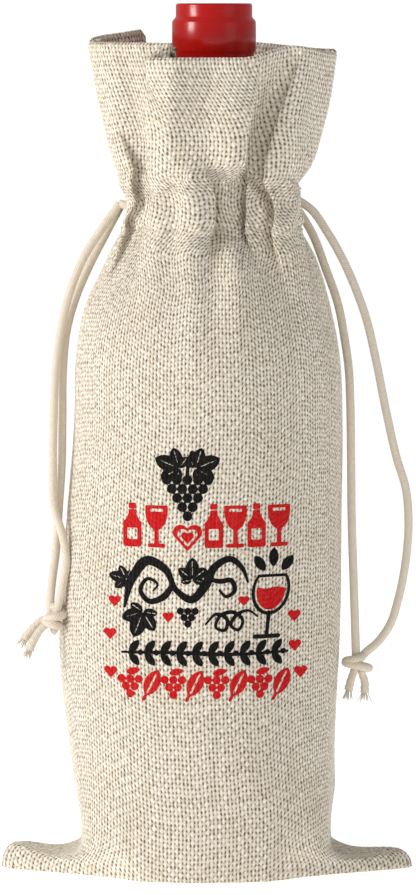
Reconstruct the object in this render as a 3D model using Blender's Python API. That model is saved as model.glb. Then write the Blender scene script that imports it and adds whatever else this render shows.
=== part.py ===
"""Wine gift bag: a gathered burlap bag with two drawstrings, standing around a corked bottle.

Frame: metres, +Z up, +X to the right, the printed front faces -Y.
The origin lies on the ground, under the middle of the bag.
"""

import math

import bmesh
import bpy
import numpy as np

# Cloth
CLOTH = 0.0012            # one layer of burlap
GAP = 0.0003              # clearance between neighbouring pieces
SEAM_THICKNESS = 0.0017   # two layers pressed together
EAR_REACH = 0.0725        # middle of the base to a corner tip: half the flat width of the bag
CORNER_SLOPE = 0.66       # of a bottom corner's folded edges, seen from above
CORNER_NOSE = 0.0050      # radius of a corner's rounded tip
CORNER_ROOT = 0.026       # from the middle, where a corner's edge leaves the body's oval
CORNER_RISE = {"left": 0.0092, "right": 0.0066}   # top of each puffed corner
GATHER_FOOT = 0.188       # the shoulder, above which the bag is narrower than the bottle
COLLAR_FOOT = 0.246       # just above the upper stitch row
RIM_LOW, RIM_HIGH = 0.285, 0.291
ROUNDNESS = 1.1           # over 1, the two panels meet in a ridge at the side seams
SHEET_COLUMNS = 25        # points across a pleated panel
PLEATS = 5                # across each panel

# Outline of the cloth: height, left edge, right edge, half depth
OUTLINE = (
    (0.0010, -0.0440, 0.0432, 0.0396),
    (0.0170, -0.0447, 0.0444, 0.0405),
    (0.0400, -0.0480, 0.0450, 0.0415),
    (0.0840, -0.0523, 0.0468, 0.0425),
    (0.1250, -0.0495, 0.0475, 0.0420),
    (0.1590, -0.0467, 0.0478, 0.0415),
    (0.1830, -0.0457, 0.0466, 0.0405),
    (0.1985, -0.0426, 0.0436, 0.0375),
    (0.2165, -0.0348, 0.0380, 0.0320),
    (0.2285, -0.0290, 0.0318, 0.0275),
    (0.2360, -0.0285, 0.0292, 0.0262),
    (0.2485, -0.0330, 0.0370, 0.0290),
    (0.2640, -0.0370, 0.0415, 0.0310),
    (0.2920, -0.0420, 0.0460, 0.0330),
)

BODY_ROWS = (0.0018, 0.012, 0.032, 0.060, 0.090, 0.125, 0.158, 0.175, GATHER_FOOT - GAP)
GATHER_ROWS = (GATHER_FOOT, 0.1970, 0.2070, 0.2160, 0.2230, 0.2285, 0.2350, 0.2410, COLLAR_FOOT - GAP)

# Drawstring channel
LOWER_STITCH, UPPER_STITCH = 0.2255, 0.2440
CORD = 0.0030             # diameter of the drawstring
TAIL = 0.0026             # its cut end, beginning to fray
CHANNEL_ROOM = 0.0044     # between the outer layer and the turned-in hem
LOOP_HEIGHTS = {"left": 0.2328, "right": 0.2368}
EXIT_HEIGHT, EXIT_HALF_HEIGHT, EXIT_HALF_WIDTH = 0.2350, 0.0070, 0.0042
THREAD = 0.0008

# Bottle
BOTTLE_X = 0.0025
BOTTLE_FOOT = 0.0030      # it stands on the base cloth and the bottom seam allowance
BOTTLE_RADIUS = 0.0370
BOTTLE_TOP = 0.3040
FOIL = 0.00035
BORE_RADIUS = 0.0096
CORK_FOOT = 0.2560
WINE_LEVEL = 0.2440

# Free drawstring routes from the side exits down to the knots: x, y, z
LEFT_OUTER = (
    (-0.0306, -0.0024, 0.2350), (-0.0368, -0.0032, 0.2262), (-0.0430, -0.0040, 0.2165),
    (-0.0482, -0.0046, 0.2036), (-0.0512, -0.0052, 0.1908), (-0.0530, -0.0056, 0.1778),
    (-0.0538, -0.0064, 0.1588), (-0.0540, -0.0078, 0.1440), (-0.0533, -0.0104, 0.1281),
    (-0.0504, -0.0128, 0.1186), (-0.0492, -0.0140, 0.1105), (-0.0503, -0.0146, 0.1029),
    (-0.0520, -0.0144, 0.0950),
)
LEFT_INNER = (
    (-0.0300, 0.0020, 0.2346), (-0.0362, 0.0012, 0.2230), (-0.0416, 0.0004, 0.2125),
    (-0.0464, -0.0006, 0.2010), (-0.0492, -0.0016, 0.1906), (-0.0505, -0.0022, 0.1778),
    (-0.0508, -0.0030, 0.1588), (-0.0510, -0.0044, 0.1440), (-0.0520, -0.0066, 0.1281),
    (-0.0532, -0.0090, 0.1112), (-0.0543, -0.0112, 0.1029), (-0.0549, -0.0124, 0.0950),
)
RIGHT_OUTER = (
    (0.0310, -0.0022, 0.2368), (0.0365, -0.0026, 0.2330), (0.0419, -0.0034, 0.2255),
    (0.0472, -0.0040, 0.2163), (0.0516, -0.0044, 0.2066), (0.0559, -0.0046, 0.1947),
    (0.0591, -0.0046, 0.1813), (0.0629, -0.0044, 0.1624), (0.0667, -0.0040, 0.1457),
    (0.0700, -0.0036, 0.1345), (0.0709, -0.0034, 0.1245), (0.0699, -0.0032, 0.1086),
    (0.0672, -0.0032, 0.0950), (0.0646, -0.0034, 0.0870), (0.0600, -0.0040, 0.0805),
    (0.0556, -0.0050, 0.0768),
)
RIGHT_INNER = (
    (0.0306, 0.0022, 0.2350), (0.0372, 0.0036, 0.2240), (0.0418, 0.0034, 0.2120),
    (0.0460, 0.0030, 0.2000), (0.0486, 0.0020, 0.1866), (0.0500, 0.0004, 0.1758),
    (0.0504, -0.0012, 0.1658), (0.0507, -0.0030, 0.1450), (0.0509, -0.0044, 0.1254),
    (0.0517, -0.0052, 0.1000), (0.0524, -0.0056, 0.0785),
)
# Knots: centre and size of the ball of turns, and where each tail ends
LEFT_KNOT, LEFT_KNOT_SIZE = (-0.0535, -0.0138, 0.0897), (0.0070, 0.0070, 0.0100)
RIGHT_KNOT, RIGHT_KNOT_SIZE = (0.0530, -0.0056, 0.0731), (0.0104, 0.0080, 0.0072)
LEFT_TAILS = (
    ((-0.0578, -0.0152, 0.0868), (-0.0600, -0.0158, 0.0836), (-0.0622, -0.0162, 0.0792)),
    ((-0.0580, -0.0122, 0.0892), (-0.0608, -0.0118, 0.0866), (-0.0640, -0.0114, 0.0826)),
)
RIGHT_TAILS = (
    ((0.0512, -0.0072, 0.0692), (0.0504, -0.0080, 0.0668), (0.0498, -0.0086, 0.0642)),
    ((0.0548, -0.0046, 0.0692), (0.0556, -0.0042, 0.0666), (0.0556, -0.0040, 0.0630)),
)

BURLAP = ("burlap", (0.80, 0.75, 0.66), 0.92, 0.0)
THREAD_MAT = ("thread", (0.86, 0.82, 0.74), 0.80, 0.0)
COTTON = ("cotton_cord", (0.84, 0.80, 0.72), 0.85, 0.0)
GLASS = ("green_glass", (0.03, 0.10, 0.04), 0.08, 0.0)
WINE = ("wine", (0.12, 0.00, 0.02), 0.05, 0.0)
CORK = ("cork", (0.55, 0.38, 0.22), 0.90, 0.0)
FOIL_MAT = ("red_foil", (0.55, 0.02, 0.02), 0.28, 0.6)
PAPER = ("label_paper", (0.88, 0.85, 0.76), 0.70, 0.0)


# ---------------------------------------------------------------- helpers

def clear_scene():
    for item in list(bpy.data.objects):
        bpy.data.objects.remove(item, do_unlink=True)


def material(finish):
    name, colour, roughness, metallic = finish
    made = bpy.data.materials.get(name)
    if made:
        return made
    made = bpy.data.materials.new(name)
    made.use_nodes = True
    shader = made.node_tree.nodes["Principled BSDF"]
    shader.inputs["Base Color"].default_value = (*colour, 1.0)
    shader.inputs["Roughness"].default_value = roughness
    shader.inputs["Metallic"].default_value = metallic
    made.diffuse_color = (*colour, 1.0)
    return made


def world_place(item):
    """Where an unturned object stands, counting the empties above it."""
    place = np.zeros(3)
    while item:
        place += item.location
        item = item.parent
    return place


def add_object(name, data, finish=None, parent=None, place=(0, 0, 0)):
    """An object, or an empty when data is None, at a world place under its parent."""
    if finish:
        data.materials.append(material(finish))
    made = bpy.data.objects.new(name, data)
    made.parent = parent
    made.location = np.subtract(place, world_place(parent))
    bpy.context.collection.objects.link(made)
    return made


def add_pivot(name, place, parent=None):
    pivot = add_object(name, None, None, parent, place)
    pivot.empty_display_size = 0.01
    return pivot


def smooth_curve(where, places, values):
    """Cubic through (places, values) with slopes taken from each point's neighbours."""
    slopes = np.gradient(values, places, axis=0)
    index = int(np.clip(np.searchsorted(places, where) - 1, 0, len(places) - 2))
    step = places[index + 1] - places[index]
    t = np.clip((where - places[index]) / step, 0.0, 1.0)
    return (
        values[index] * (1 + 2 * t) * (1 - t) ** 2
        + slopes[index] * step * t * (1 - t) ** 2
        + values[index + 1] * t * t * (3 - 2 * t)
        + slopes[index + 1] * step * t * t * (t - 1)
    )


def bump(where, centre, half_width):
    """1 at the centre, falling smoothly to 0 at half_width either side."""
    t = min(1.0, abs(where - centre) / half_width)
    return (1 - t * t) ** 2


# ---------------------------------------------------------------- cloth surface

OUTLINE_HEIGHTS = np.array([row[0] for row in OUTLINE])
OUTLINE_SIZES = np.array([row[1:] for row in OUTLINE])


def section(height):
    """Middle, half width and half depth of the cloth at a height."""
    left, right, depth = smooth_curve(height, OUTLINE_HEIGHTS, OUTLINE_SIZES)
    return (left + right) / 2, (right - left) / 2, depth


def pleat_depth(height):
    """How far a valley between two pleats lies inside the outline."""
    return 0.0012 * bump(height, 0.2360, 0.034) + 0.0016 * bump(height, 0.2900, 0.045)


def cloth_point(side, turn, height):
    """Outer surface. side is -1 in front and 1 behind; turn runs from 0, left, to pi, right."""
    mid, half, depth = section(height)
    fold = 1 - pleat_depth(height) / depth * math.sin(PLEATS * turn) ** 2
    x = mid - half * fold * math.cos(turn)
    y = side * depth * fold * abs(math.sin(turn)) ** ROUNDNESS
    return np.array((x, y, height))


def inset_point(side, turn, height, depth_in):
    """A point depth_in inside the outer surface, kept on its own side of the side seams."""
    half, depth = section(height)[1:]
    outward = np.array((-math.cos(turn) * depth, side * math.sin(turn) * half, 0.0))
    place = cloth_point(side, turn, height) - depth_in * outward / np.linalg.norm(outward)
    place[1] = side * max(GAP / 2, side * place[1])
    return place


def exit_turn(height):
    """Where a panel starts, counted from the side seam: further in beside the cord exit."""
    open_to = EXIT_HALF_WIDTH * bump(height, EXIT_HEIGHT, EXIT_HALF_HEIGHT)
    return math.asin(min(1.0, (open_to / section(height)[2]) ** (1 / ROUNDNESS)))


def panel_grid(side, heights, columns, depth_in):
    """Rows of points across one panel, depth_in(height) inside the outer surface."""
    rows = []
    for height in heights:
        start = exit_turn(height)
        turns = np.linspace(start, math.pi - start, columns)
        rows.append([inset_point(side, turn, height, depth_in(height)) for turn in turns])
    return np.array(rows)


def mesh_from(name, points, faces):
    data = bpy.data.meshes.new(name)
    data.from_pydata([tuple(point) for point in points], [], faces)
    shell = bmesh.new()
    shell.from_mesh(data)
    bmesh.ops.recalc_face_normals(shell, faces=shell.faces)
    shell.to_mesh(data)
    shell.free()
    data.shade_smooth()
    data.set_sharp_from_angle(angle=math.radians(50))
    return data


def grid_faces(rows, columns, first=0):
    return [
        (first + r * columns + c, first + r * columns + c + 1,
         first + (r + 1) * columns + c + 1, first + (r + 1) * columns + c)
        for r in range(rows - 1)
        for c in range(columns - 1)
    ]


def sheet_object(name, outer, inner, finish, parent=None):
    """A closed sheet between two grids of the same shape."""
    rows, columns = outer.shape[:2]
    count = rows * columns
    faces = grid_faces(rows, columns) + grid_faces(rows, columns, count)
    edge = [c for c in range(columns)]
    edge += [r * columns + columns - 1 for r in range(1, rows)]
    edge += [(rows - 1) * columns + c for c in range(columns - 2, -1, -1)]
    edge += [r * columns for r in range(rows - 2, 0, -1)]
    for a, b in zip(edge, edge[1:] + edge[:1]):
        faces.append((a, b, b + count, a + count))
    points = np.concatenate([outer.reshape(-1, 3), inner.reshape(-1, 3)])
    return add_object(name, mesh_from(name, points, faces), finish, parent, world_place(parent))


# ---------------------------------------------------------------- bag

def add_panels():
    """Front and back panel, each in three stretches: body, gather and collar."""
    def outer(height):
        return 0.0

    def inner(height):
        return CLOTH

    for side, label in ((-1, "front"), (1, "back")):
        for stretch, heights, columns in (
            ("body", BODY_ROWS, 19), ("gather", GATHER_ROWS, SHEET_COLUMNS)
        ):
            sheet_object(
                f"{label}_panel_{stretch}",
                panel_grid(side, heights, columns, outer),
                panel_grid(side, heights, columns, inner),
                BURLAP,
            )
        add_collar(side, label)


def rim_height(side, turn):
    """The rim dips at the middle of the front and stands higher behind."""
    dip = math.sin(turn) ** 2
    return RIM_HIGH - (RIM_HIGH - RIM_LOW) * dip * (1.0 if side < 0 else 0.2)


def collar_grid(side, depth_in):
    rows = []
    for level in np.linspace(0, 1, 5):
        row = []
        for turn in np.linspace(0, math.pi, SHEET_COLUMNS):
            height = COLLAR_FOOT + (rim_height(side, turn) - COLLAR_FOOT) * level
            row.append(inset_point(side, turn, height, depth_in))
        rows.append(row)
    return np.array(rows)


def add_collar(side, label):
    grids = [collar_grid(side, depth_in) for depth_in in (0.0, CLOTH)]
    sheet_object(f"{label}_panel_collar", *grids, BURLAP)


def channel_depth(height):
    """How far the turned-in hem stands inside the outer surface."""
    middle = (LOWER_STITCH + UPPER_STITCH) / 2
    flat = (UPPER_STITCH - LOWER_STITCH) / 2
    t = np.clip((flat - abs(height - middle)) / 0.0045, 0.0, 1.0)
    return CLOTH + GAP + CHANNEL_ROOM * t * t * (3 - 2 * t)


def add_facings():
    """The hem turned inside at the rim: the collar's lining and the channel's inner wall."""
    heights = (0.2215, 0.2256, 0.2280, 0.2305, 0.2350, 0.2392, 0.2416, 0.2440, 0.2560, 0.2835)
    for side, label in ((-1, "front"), (1, "back")):
        grids = [
            panel_grid(side, heights, SHEET_COLUMNS, lambda height, more=more: channel_depth(height) + more)
            for more in (0.0, CLOTH)
        ]
        sheet_object(f"{label}_turned_in_hem", *grids, BURLAP)


def corner_half_width(reach):
    """Half width of a bottom corner at a distance from its tip."""
    nose = 2 * CORNER_NOSE * reach * math.exp(-reach / 0.015)
    return math.sqrt((CORNER_SLOPE * reach) ** 2 + max(0.0, nose))


def base_outline(x):
    """Half depth of the cloth lying on the ground: the body's oval and two pointed corners."""
    mid, half, depth = section(0.0018)
    oval = depth * max(0.0, 1 - (abs(x - mid) / half) ** 2) ** (ROUNDNESS / 2)
    if abs(x) < CORNER_ROOT:
        return oval
    return max(oval, corner_half_width(EAR_REACH - abs(x)))


def add_base():
    """The panels' lower ends, folded under the bottle to the bottom seam."""
    xs = EAR_REACH * np.sin(np.linspace(-math.pi / 2, math.pi / 2, 37))
    for side, label in ((-1, "front"), (1, "back")):
        outline = [(x, side * max(GAP / 2, base_outline(x))) for x in xs]
        seam = [(xs[-1], side * GAP / 2), (xs[0], side * GAP / 2)]
        outline = outline[1:-1] + seam
        count = len(outline)
        points = [(x, y, z) for z in (0.0, CLOTH) for x, y in outline]
        faces = [tuple(range(count)), tuple(range(count, 2 * count))]
        faces += [(i, (i + 1) % count, (i + 1) % count + count, i + count) for i in range(count)]
        add_object(f"{label}_base_fold", mesh_from(f"{label}_base_fold", points, faces), BURLAP)


def add_corner_folds():
    """The upper layer of each bottom corner, rising to the side seam against the body."""
    foot = CLOTH + GAP
    for sign, label in ((-1, "left"), (1, "right")):
        mid, half, depth = section(0.006)
        lift = CORNER_RISE[label] - foot - CLOTH
        lower, upper = [], []
        for s in (0.0, 0.15, 0.3, 0.45, 0.6, 0.75, 0.87, 0.95, 1.0):
            reach = (1 - s) * (EAR_REACH - half + 0.0010) + 0.0010
            wide = corner_half_width(reach) - 0.0004
            low_row, high_row = [], []
            for q in np.linspace(-1, 1, 9):
                y = q * wide
                wall = half * math.sqrt(1 - (abs(y) / depth) ** (2 / ROUNDNESS))
                inside = abs(mid + sign * wall) + 0.0012
                x = sign * (inside + (EAR_REACH - 0.0006 - inside) * s)
                rise = lift * math.sqrt(1 - s ** 5) * (1 - q ** 4)
                low_row.append((x, y, foot))
                high_row.append((x, y, foot + CLOTH + rise))
            lower.append(low_row)
            upper.append(high_row)
        sheet_object(f"{label}_corner_fold", np.array(upper), np.array(lower), BURLAP)


def add_seams():
    """Seam allowances, pressed flat inside the back panel, and the thread that closes the seams."""
    heights = np.array(BODY_ROWS[1:-1])
    for sign, label, first in ((-1, "left", 0.0), (1, "right", math.pi)):
        turns = [first - sign * t for t in (0.07, 0.13, 0.19, 0.24)]
        grids = [
            np.array([[inset_point(1, turn, z, depth_in) for turn in turns] for z in heights])
            for depth_in in (CLOTH + 2 * GAP, CLOTH + 2 * GAP + SEAM_THICKNESS)
        ]
        sheet_object(f"{label}_seam_allowance", *grids, BURLAP)
        edge = [section(z)[0] + sign * (section(z)[1] - 0.0034) for z in heights]
        route = [(x, -0.0012, z) for x, z in zip(edge, heights)]
        add_tube(f"{label}_seam_stitching", route, THREAD, THREAD_MAT, resolution=0)
    level = CLOTH + GAP
    strip = np.array([[(x, y, level) for y in (-0.0004, 0.0068)] for x in (-0.038, 0.038)])
    sheet_object("bottom_seam_allowance", strip + (0, 0, CLOTH), strip, BURLAP)
    middle = level + CLOTH + GAP + THREAD / 2
    route = [(x, 0.0012, middle) for x in np.linspace(-0.024, 0.028, 6)]
    add_tube("bottom_seam_stitching", route, THREAD, THREAD_MAT, resolution=0)


def ring_route(height, depth_in, turns):
    """Points round the neck. Turn 0 is the left seam, pi the right one, by way of the front."""
    route = []
    for turn in turns:
        side = -1 if math.sin(turn) > 0 else 1
        place = inset_point(side, math.acos(math.cos(turn)), height, depth_in)
        if abs(math.sin(turn)) < 0.05:
            place[1] = 0.0
        route.append(place)
    return route


def add_stitch_rows():
    """Two rows of thread round the neck that close the channel above and below the cords."""
    for label, height in (("lower", LOWER_STITCH), ("upper", UPPER_STITCH)):
        turns = np.linspace(0, 2 * math.pi, 60, endpoint=False)
        route = ring_route(height, -THREAD / 2 - GAP - 0.0003, turns)
        add_tube(f"{label}_channel_stitching", route, THREAD, THREAD_MAT, closed=True, resolution=0)


# ---------------------------------------------------------------- drawstrings

def smooth_route(points, spacing):
    """Points at an even spacing on a smooth curve through the given points."""
    points = np.array(points)
    lengths = np.concatenate([[0], np.cumsum(np.linalg.norm(np.diff(points, axis=0), axis=1))])
    fine = np.array([smooth_curve(w, lengths, points) for w in np.linspace(0, lengths[-1], 400)])
    run = np.concatenate([[0], np.cumsum(np.linalg.norm(np.diff(fine, axis=0), axis=1))])
    count = max(2, round(run[-1] / spacing)) + 1
    marks = np.linspace(0, run[-1], count)
    return np.array([[np.interp(mark, run, fine[:, axis]) for axis in range(3)] for mark in marks])


def add_tube(name, route, diameter, finish, parent=None, closed=False, resolution=2):
    origin = world_place(parent)
    data = bpy.data.curves.new(name, "CURVE")
    data.dimensions = "3D"
    data.bevel_depth = diameter / 2
    data.bevel_resolution = resolution
    data.use_fill_caps = not closed
    spline = data.splines.new("POLY")
    spline.points.add(len(route) - 1)
    for point, place in zip(spline.points, route):
        point.co = (*np.subtract(place, origin), 1.0)
    spline.use_cyclic_u = closed
    return add_object(name, data, finish, parent, origin)


def add_loops():
    """Each drawstring runs once round the channel and leaves at its own side."""
    open_turn = 0.20
    depth_in = CLOTH + (GAP + CHANNEL_ROOM) / 2
    for label, height in LOOP_HEIGHTS.items():
        start = open_turn + (0 if label == "left" else math.pi)
        turns = np.linspace(start, start + 2 * (math.pi - open_turn), 54)
        route = ring_route(height, depth_in, turns)
        add_tube(f"{label}_drawstring_loop", route, CORD, COTTON, resolution=1)


def ball_of_turns(name, centre, size, parent, tilt):
    """A tight overhand knot: a squashed ball with a waist, turned to its pull."""
    shell = bmesh.new()
    bmesh.ops.create_uvsphere(shell, u_segments=14, v_segments=9, radius=0.5)
    for vert in shell.verts:
        waist = 1 - 0.16 * math.exp(-((vert.co.z / 0.12) ** 2))
        swell = 1 + 0.06 * math.sin(3 * math.atan2(vert.co.y, vert.co.x) + 5 * vert.co.z)
        vert.co.x *= waist * swell * size[0]
        vert.co.y *= waist * swell * size[1]
        vert.co.z *= size[2]
    data = bpy.data.meshes.new(name)
    shell.to_mesh(data)
    shell.free()
    data.shade_smooth()
    made = add_object(name, data, COTTON, parent, centre)
    made.rotation_euler = (0, tilt, 0)
    return made


def add_drawstring(label, strands, knot, knot_size, tails, tilt):
    """Free end of one drawstring: it swings at the side exit, and the knot is what is pulled."""
    words = ("outer", "inner")
    swing = add_pivot(f"{label}_swing_axis", np.mean([strand[0] for strand in strands], axis=0))
    for word, points in zip(words, strands):
        add_tube(f"{label}_{word}_strand", smooth_route(points, 0.0072), CORD, COTTON, swing)
    pull = add_pivot(f"{label}_pull_axis", knot, swing)
    ball_of_turns(f"{label}_knot", knot, knot_size, pull, tilt)
    for word, points in zip(words, tails):
        add_tube(f"{label}_{word}_tail", points, TAIL, COTTON, pull)


def add_drawstrings():
    add_drawstring("left", (LEFT_OUTER, LEFT_INNER), LEFT_KNOT, LEFT_KNOT_SIZE, LEFT_TAILS, 0.3)
    add_drawstring(
        "right", (RIGHT_OUTER, RIGHT_INNER), RIGHT_KNOT, RIGHT_KNOT_SIZE, RIGHT_TAILS, 0.15
    )


# ---------------------------------------------------------------- bottle

def turned(name, profile, finish, parent, segments=24):
    """A closed profile of (radius, height) spun about the bottle's axis."""
    shell = bmesh.new()
    verts = [shell.verts.new((radius, 0.0, height)) for radius, height in profile]
    pairs = list(zip(verts, verts[1:]))
    if profile[0][0] > 0:
        pairs.append((verts[-1], verts[0]))
    edges = [shell.edges.new(pair) for pair in pairs]
    bmesh.ops.spin(
        shell, geom=verts + edges, cent=(0, 0, 0), axis=(0, 0, 1),
        angle=2 * math.pi, steps=segments, use_merge=False,
    )
    bmesh.ops.remove_doubles(shell, verts=shell.verts, dist=0.00001)
    bmesh.ops.recalc_face_normals(shell, faces=shell.faces)
    data = bpy.data.meshes.new(name)
    shell.to_mesh(data)
    shell.free()
    data.shade_smooth()
    data.set_sharp_from_angle(angle=math.radians(40))
    return add_object(name, data, finish, parent, world_place(parent))


def arc(centre_r, centre_z, radius_r, radius_z, start, end, count):
    """Points of an ellipse's arc in the profile plane, angles in degrees."""
    return [
        (centre_r + radius_r * math.cos(math.radians(a)),
         centre_z + radius_z * math.sin(math.radians(a)))
        for a in np.linspace(start, end, count)
    ]


def shrunk(profile, distance):
    """A profile that runs down a hollow's wall, moved into the hollow."""
    points = np.array(profile)
    runs = np.gradient(points, axis=0)
    runs /= np.linalg.norm(runs, axis=1)[:, None]
    moved = points + distance * np.stack([runs[:, 1], -runs[:, 0]], axis=1)
    moved[-1, 0] = 0.0
    return [(radius, height) for radius, height in moved]


NECK_LOW, NECK_HIGH = 0.0150, 0.01335     # radii of the neck at its foot and below the ring
RING, LIP = 0.01405, 0.01275              # radii of the glass ring and of the lip above it


def bottle_outside():
    """The bottle from the middle of its foot up to the lip."""
    foot = BOTTLE_FOOT
    outside = [(0.0, foot + 0.0200), (0.0110, foot + 0.0180), (0.0220, foot + 0.0090)]
    outside += [(0.0300, foot + 0.0020), (0.0325, foot)]
    outside += arc(BOTTLE_RADIUS - 0.0045, foot + 0.0045, 0.0045, 0.0045, -75, 0, 4)
    outside += arc(BOTTLE_RADIUS - 0.0230, 0.1830, 0.0230, 0.0260, 0, 55, 7)
    outside += [(0.0232, 0.2115), (0.0188, 0.2180), (0.0164, 0.2250), (NECK_LOW, 0.2330)]
    outside += [(NECK_HIGH, 0.2870), (RING, 0.2885), (RING, 0.2985), (LIP, 0.2998)]
    outside += [(LIP, BOTTLE_TOP - 0.0010), (LIP - 0.0010, BOTTLE_TOP)]
    return outside


def bottle_inside():
    """The hollow from the mouth down to the middle of the punt."""
    foot = BOTTLE_FOOT
    inside = [(BORE_RADIUS, BOTTLE_TOP), (BORE_RADIUS, 0.2500), (0.0110, 0.2320)]
    inside += [(0.0140, 0.2180), (0.0205, 0.2080)]
    inside += arc(BOTTLE_RADIUS - 0.0230, 0.1820, 0.0203, 0.0225, 50, 0, 5)
    inside += [(0.0343, foot + 0.0120), (0.0320, foot + 0.0072), (0.0240, foot + 0.0140)]
    inside += [(0.0120, foot + 0.0220), (0.0, foot + 0.0240)]
    return inside


def add_bottle():
    axis = add_pivot("bottle_lift_axis", (BOTTLE_X, 0.0, 0.0))
    turned("bottle_glass", bottle_outside() + bottle_inside(), GLASS, axis)
    wine = [(0.0, WINE_LEVEL), (BORE_RADIUS - GAP, WINE_LEVEL)]
    wine += [place for place in shrunk(bottle_inside(), 2 * GAP) if place[1] < WINE_LEVEL]
    turned("wine", wine, WINE, axis)
    cork_radius = BORE_RADIUS - GAP
    cork = [(0.0, CORK_FOOT), (cork_radius - 0.0006, CORK_FOOT), (cork_radius, CORK_FOOT + 0.0008)]
    cork += [(cork_radius, 0.3028), (cork_radius - 0.0006, 0.3036), (0.0, 0.3036)]
    turned("cork", cork, CORK, axis)
    add_capsule(axis)
    add_label("front_label", -1, axis)
    add_label("back_label", 1, axis)


def add_capsule(axis):
    """A sleeve shrunk onto the neck, and the disc that closes its top."""
    clear = GAP + FOIL
    outer = [(NECK_LOW + clear, 0.2345), (NECK_HIGH + clear, 0.2868), (RING + clear, 0.2883)]
    outer += [(RING + clear, 0.2990), (LIP + clear, 0.3003), (LIP + clear, 0.3042)]
    inner = [(radius - FOIL, height) for radius, height in reversed(outer)]
    turned("capsule_sleeve", outer + inner, FOIL_MAT, axis)
    rim = LIP + clear
    disc = [(0.0, 0.3050), (rim - 0.0012, 0.3050), (rim, 0.3047), (rim, 0.3045), (0.0, 0.3045)]
    turned("capsule_top_disc", disc, FOIL_MAT, axis)


def add_label(name, side, axis):
    """A curved paper label on the bottle's straight side."""
    low, high = (0.060, 0.140) if side < 0 else (0.068, 0.128)
    reach = math.radians(50 if side < 0 else 38)
    grids = []
    for radius in (BOTTLE_RADIUS + 0.00055, BOTTLE_RADIUS + 0.0003):
        grids.append(np.array([
            [(radius * math.sin(a), side * radius * math.cos(a), height)
             for a in np.linspace(-reach, reach, 12)]
            for height in (low, high)
        ]))
    sheet_object(name, *grids, PAPER, axis)


clear_scene()
add_panels()
add_facings()
add_base()
add_corner_folds()
add_seams()
add_stitch_rows()
add_loops()
add_drawstrings()
add_bottle()
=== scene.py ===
import math

import bpy
import numpy as np
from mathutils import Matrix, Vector


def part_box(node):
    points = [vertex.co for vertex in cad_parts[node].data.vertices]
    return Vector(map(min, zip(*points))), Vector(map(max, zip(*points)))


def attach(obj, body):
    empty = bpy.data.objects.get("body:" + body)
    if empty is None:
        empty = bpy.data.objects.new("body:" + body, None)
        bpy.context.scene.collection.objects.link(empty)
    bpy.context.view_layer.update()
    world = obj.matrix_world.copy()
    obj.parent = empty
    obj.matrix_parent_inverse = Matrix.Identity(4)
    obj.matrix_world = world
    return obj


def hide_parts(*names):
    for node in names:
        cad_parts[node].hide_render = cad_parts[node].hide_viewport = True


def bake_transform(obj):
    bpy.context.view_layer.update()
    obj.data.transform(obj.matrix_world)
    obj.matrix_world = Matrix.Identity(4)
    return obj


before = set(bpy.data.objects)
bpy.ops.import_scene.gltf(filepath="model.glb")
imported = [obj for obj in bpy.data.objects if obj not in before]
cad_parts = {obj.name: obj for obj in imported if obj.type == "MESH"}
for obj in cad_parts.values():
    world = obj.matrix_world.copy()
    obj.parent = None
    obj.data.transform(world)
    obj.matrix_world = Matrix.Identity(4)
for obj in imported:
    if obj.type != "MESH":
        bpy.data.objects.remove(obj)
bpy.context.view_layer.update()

print("frame loaded:", len(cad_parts), "parts")


# small helpers

def smoothStep(t):
    t = np.clip(t, 0.0, 1.0)
    return t * t * (3 - 2 * t)


def rising(where, start, over):
    return smoothStep((where - start) / over)


def hill(where, centre, halfWidth):
    # 1 at the centre, 0 at halfWidth either side
    t = np.clip(np.abs(where - centre) / halfWidth, 0.0, 1.0)
    return (1 - t * t) ** 2


def smoothCurve(where, places, values):
    # cubic through the values, with slopes from each neighbour
    slopes = np.gradient(values, places, axis=0)
    index = int(np.clip(np.searchsorted(places, where) - 1, 0, len(places) - 2))
    step = places[index + 1] - places[index]
    t = np.clip((where - places[index]) / step, 0.0, 1.0)
    return (
        values[index] * (1 + 2 * t) * (1 - t) ** 2
        + slopes[index] * step * t * (1 - t) ** 2
        + values[index + 1] * t * t * (3 - 2 * t)
        + slopes[index + 1] * step * t * t * (t - 1)
    )


def unit(vectors):
    return vectors / (np.linalg.norm(vectors, axis=-1, keepdims=True) + 1e-12)


def runAlong(points):
    # distance along a path, at each of its points
    return np.concatenate([[0], np.cumsum(np.linalg.norm(np.diff(points, axis=0), axis=1))])


def ripple(a, b, seed, waves=5):
    # smooth irregular waves over two coordinates, about -1 to 1
    rng = np.random.default_rng(seed)
    total = 0.0
    for _ in range(waves):
        fa, fb = rng.uniform(0.5, 1.6, 2) * rng.choice([-1, 1], 2)
        total = total + np.sin(fa * a + fb * b + rng.uniform(0, 6.3))
    return total / math.sqrt(waves * 1.2)


def deselectAll():
    if bpy.context.mode != "OBJECT":
        bpy.ops.object.mode_set(mode="OBJECT")
    bpy.ops.object.select_all(action="DESELECT")


def selectOnly(piece):
    deselectAll()
    piece.select_set(True)
    bpy.context.view_layer.objects.active = piece


def newGrid(name, places, threads=None, uvName="threads"):
    # a grid primitive whose vertices are laid out row by row
    rows, columns = places.shape[:2]
    deselectAll()
    bpy.ops.mesh.primitive_grid_add(x_subdivisions=columns - 1, y_subdivisions=rows - 1, size=1)
    piece = bpy.context.active_object
    piece.name = name
    piece.data.name = name
    piece.data.vertices.foreach_set("co", places.reshape(-1, 3).astype(np.float32).ravel())
    if threads is not None:
        giveUv(piece, threads.reshape(-1, 2), uvName)
    piece.data.shade_smooth()
    piece.data.update()
    return piece


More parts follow.
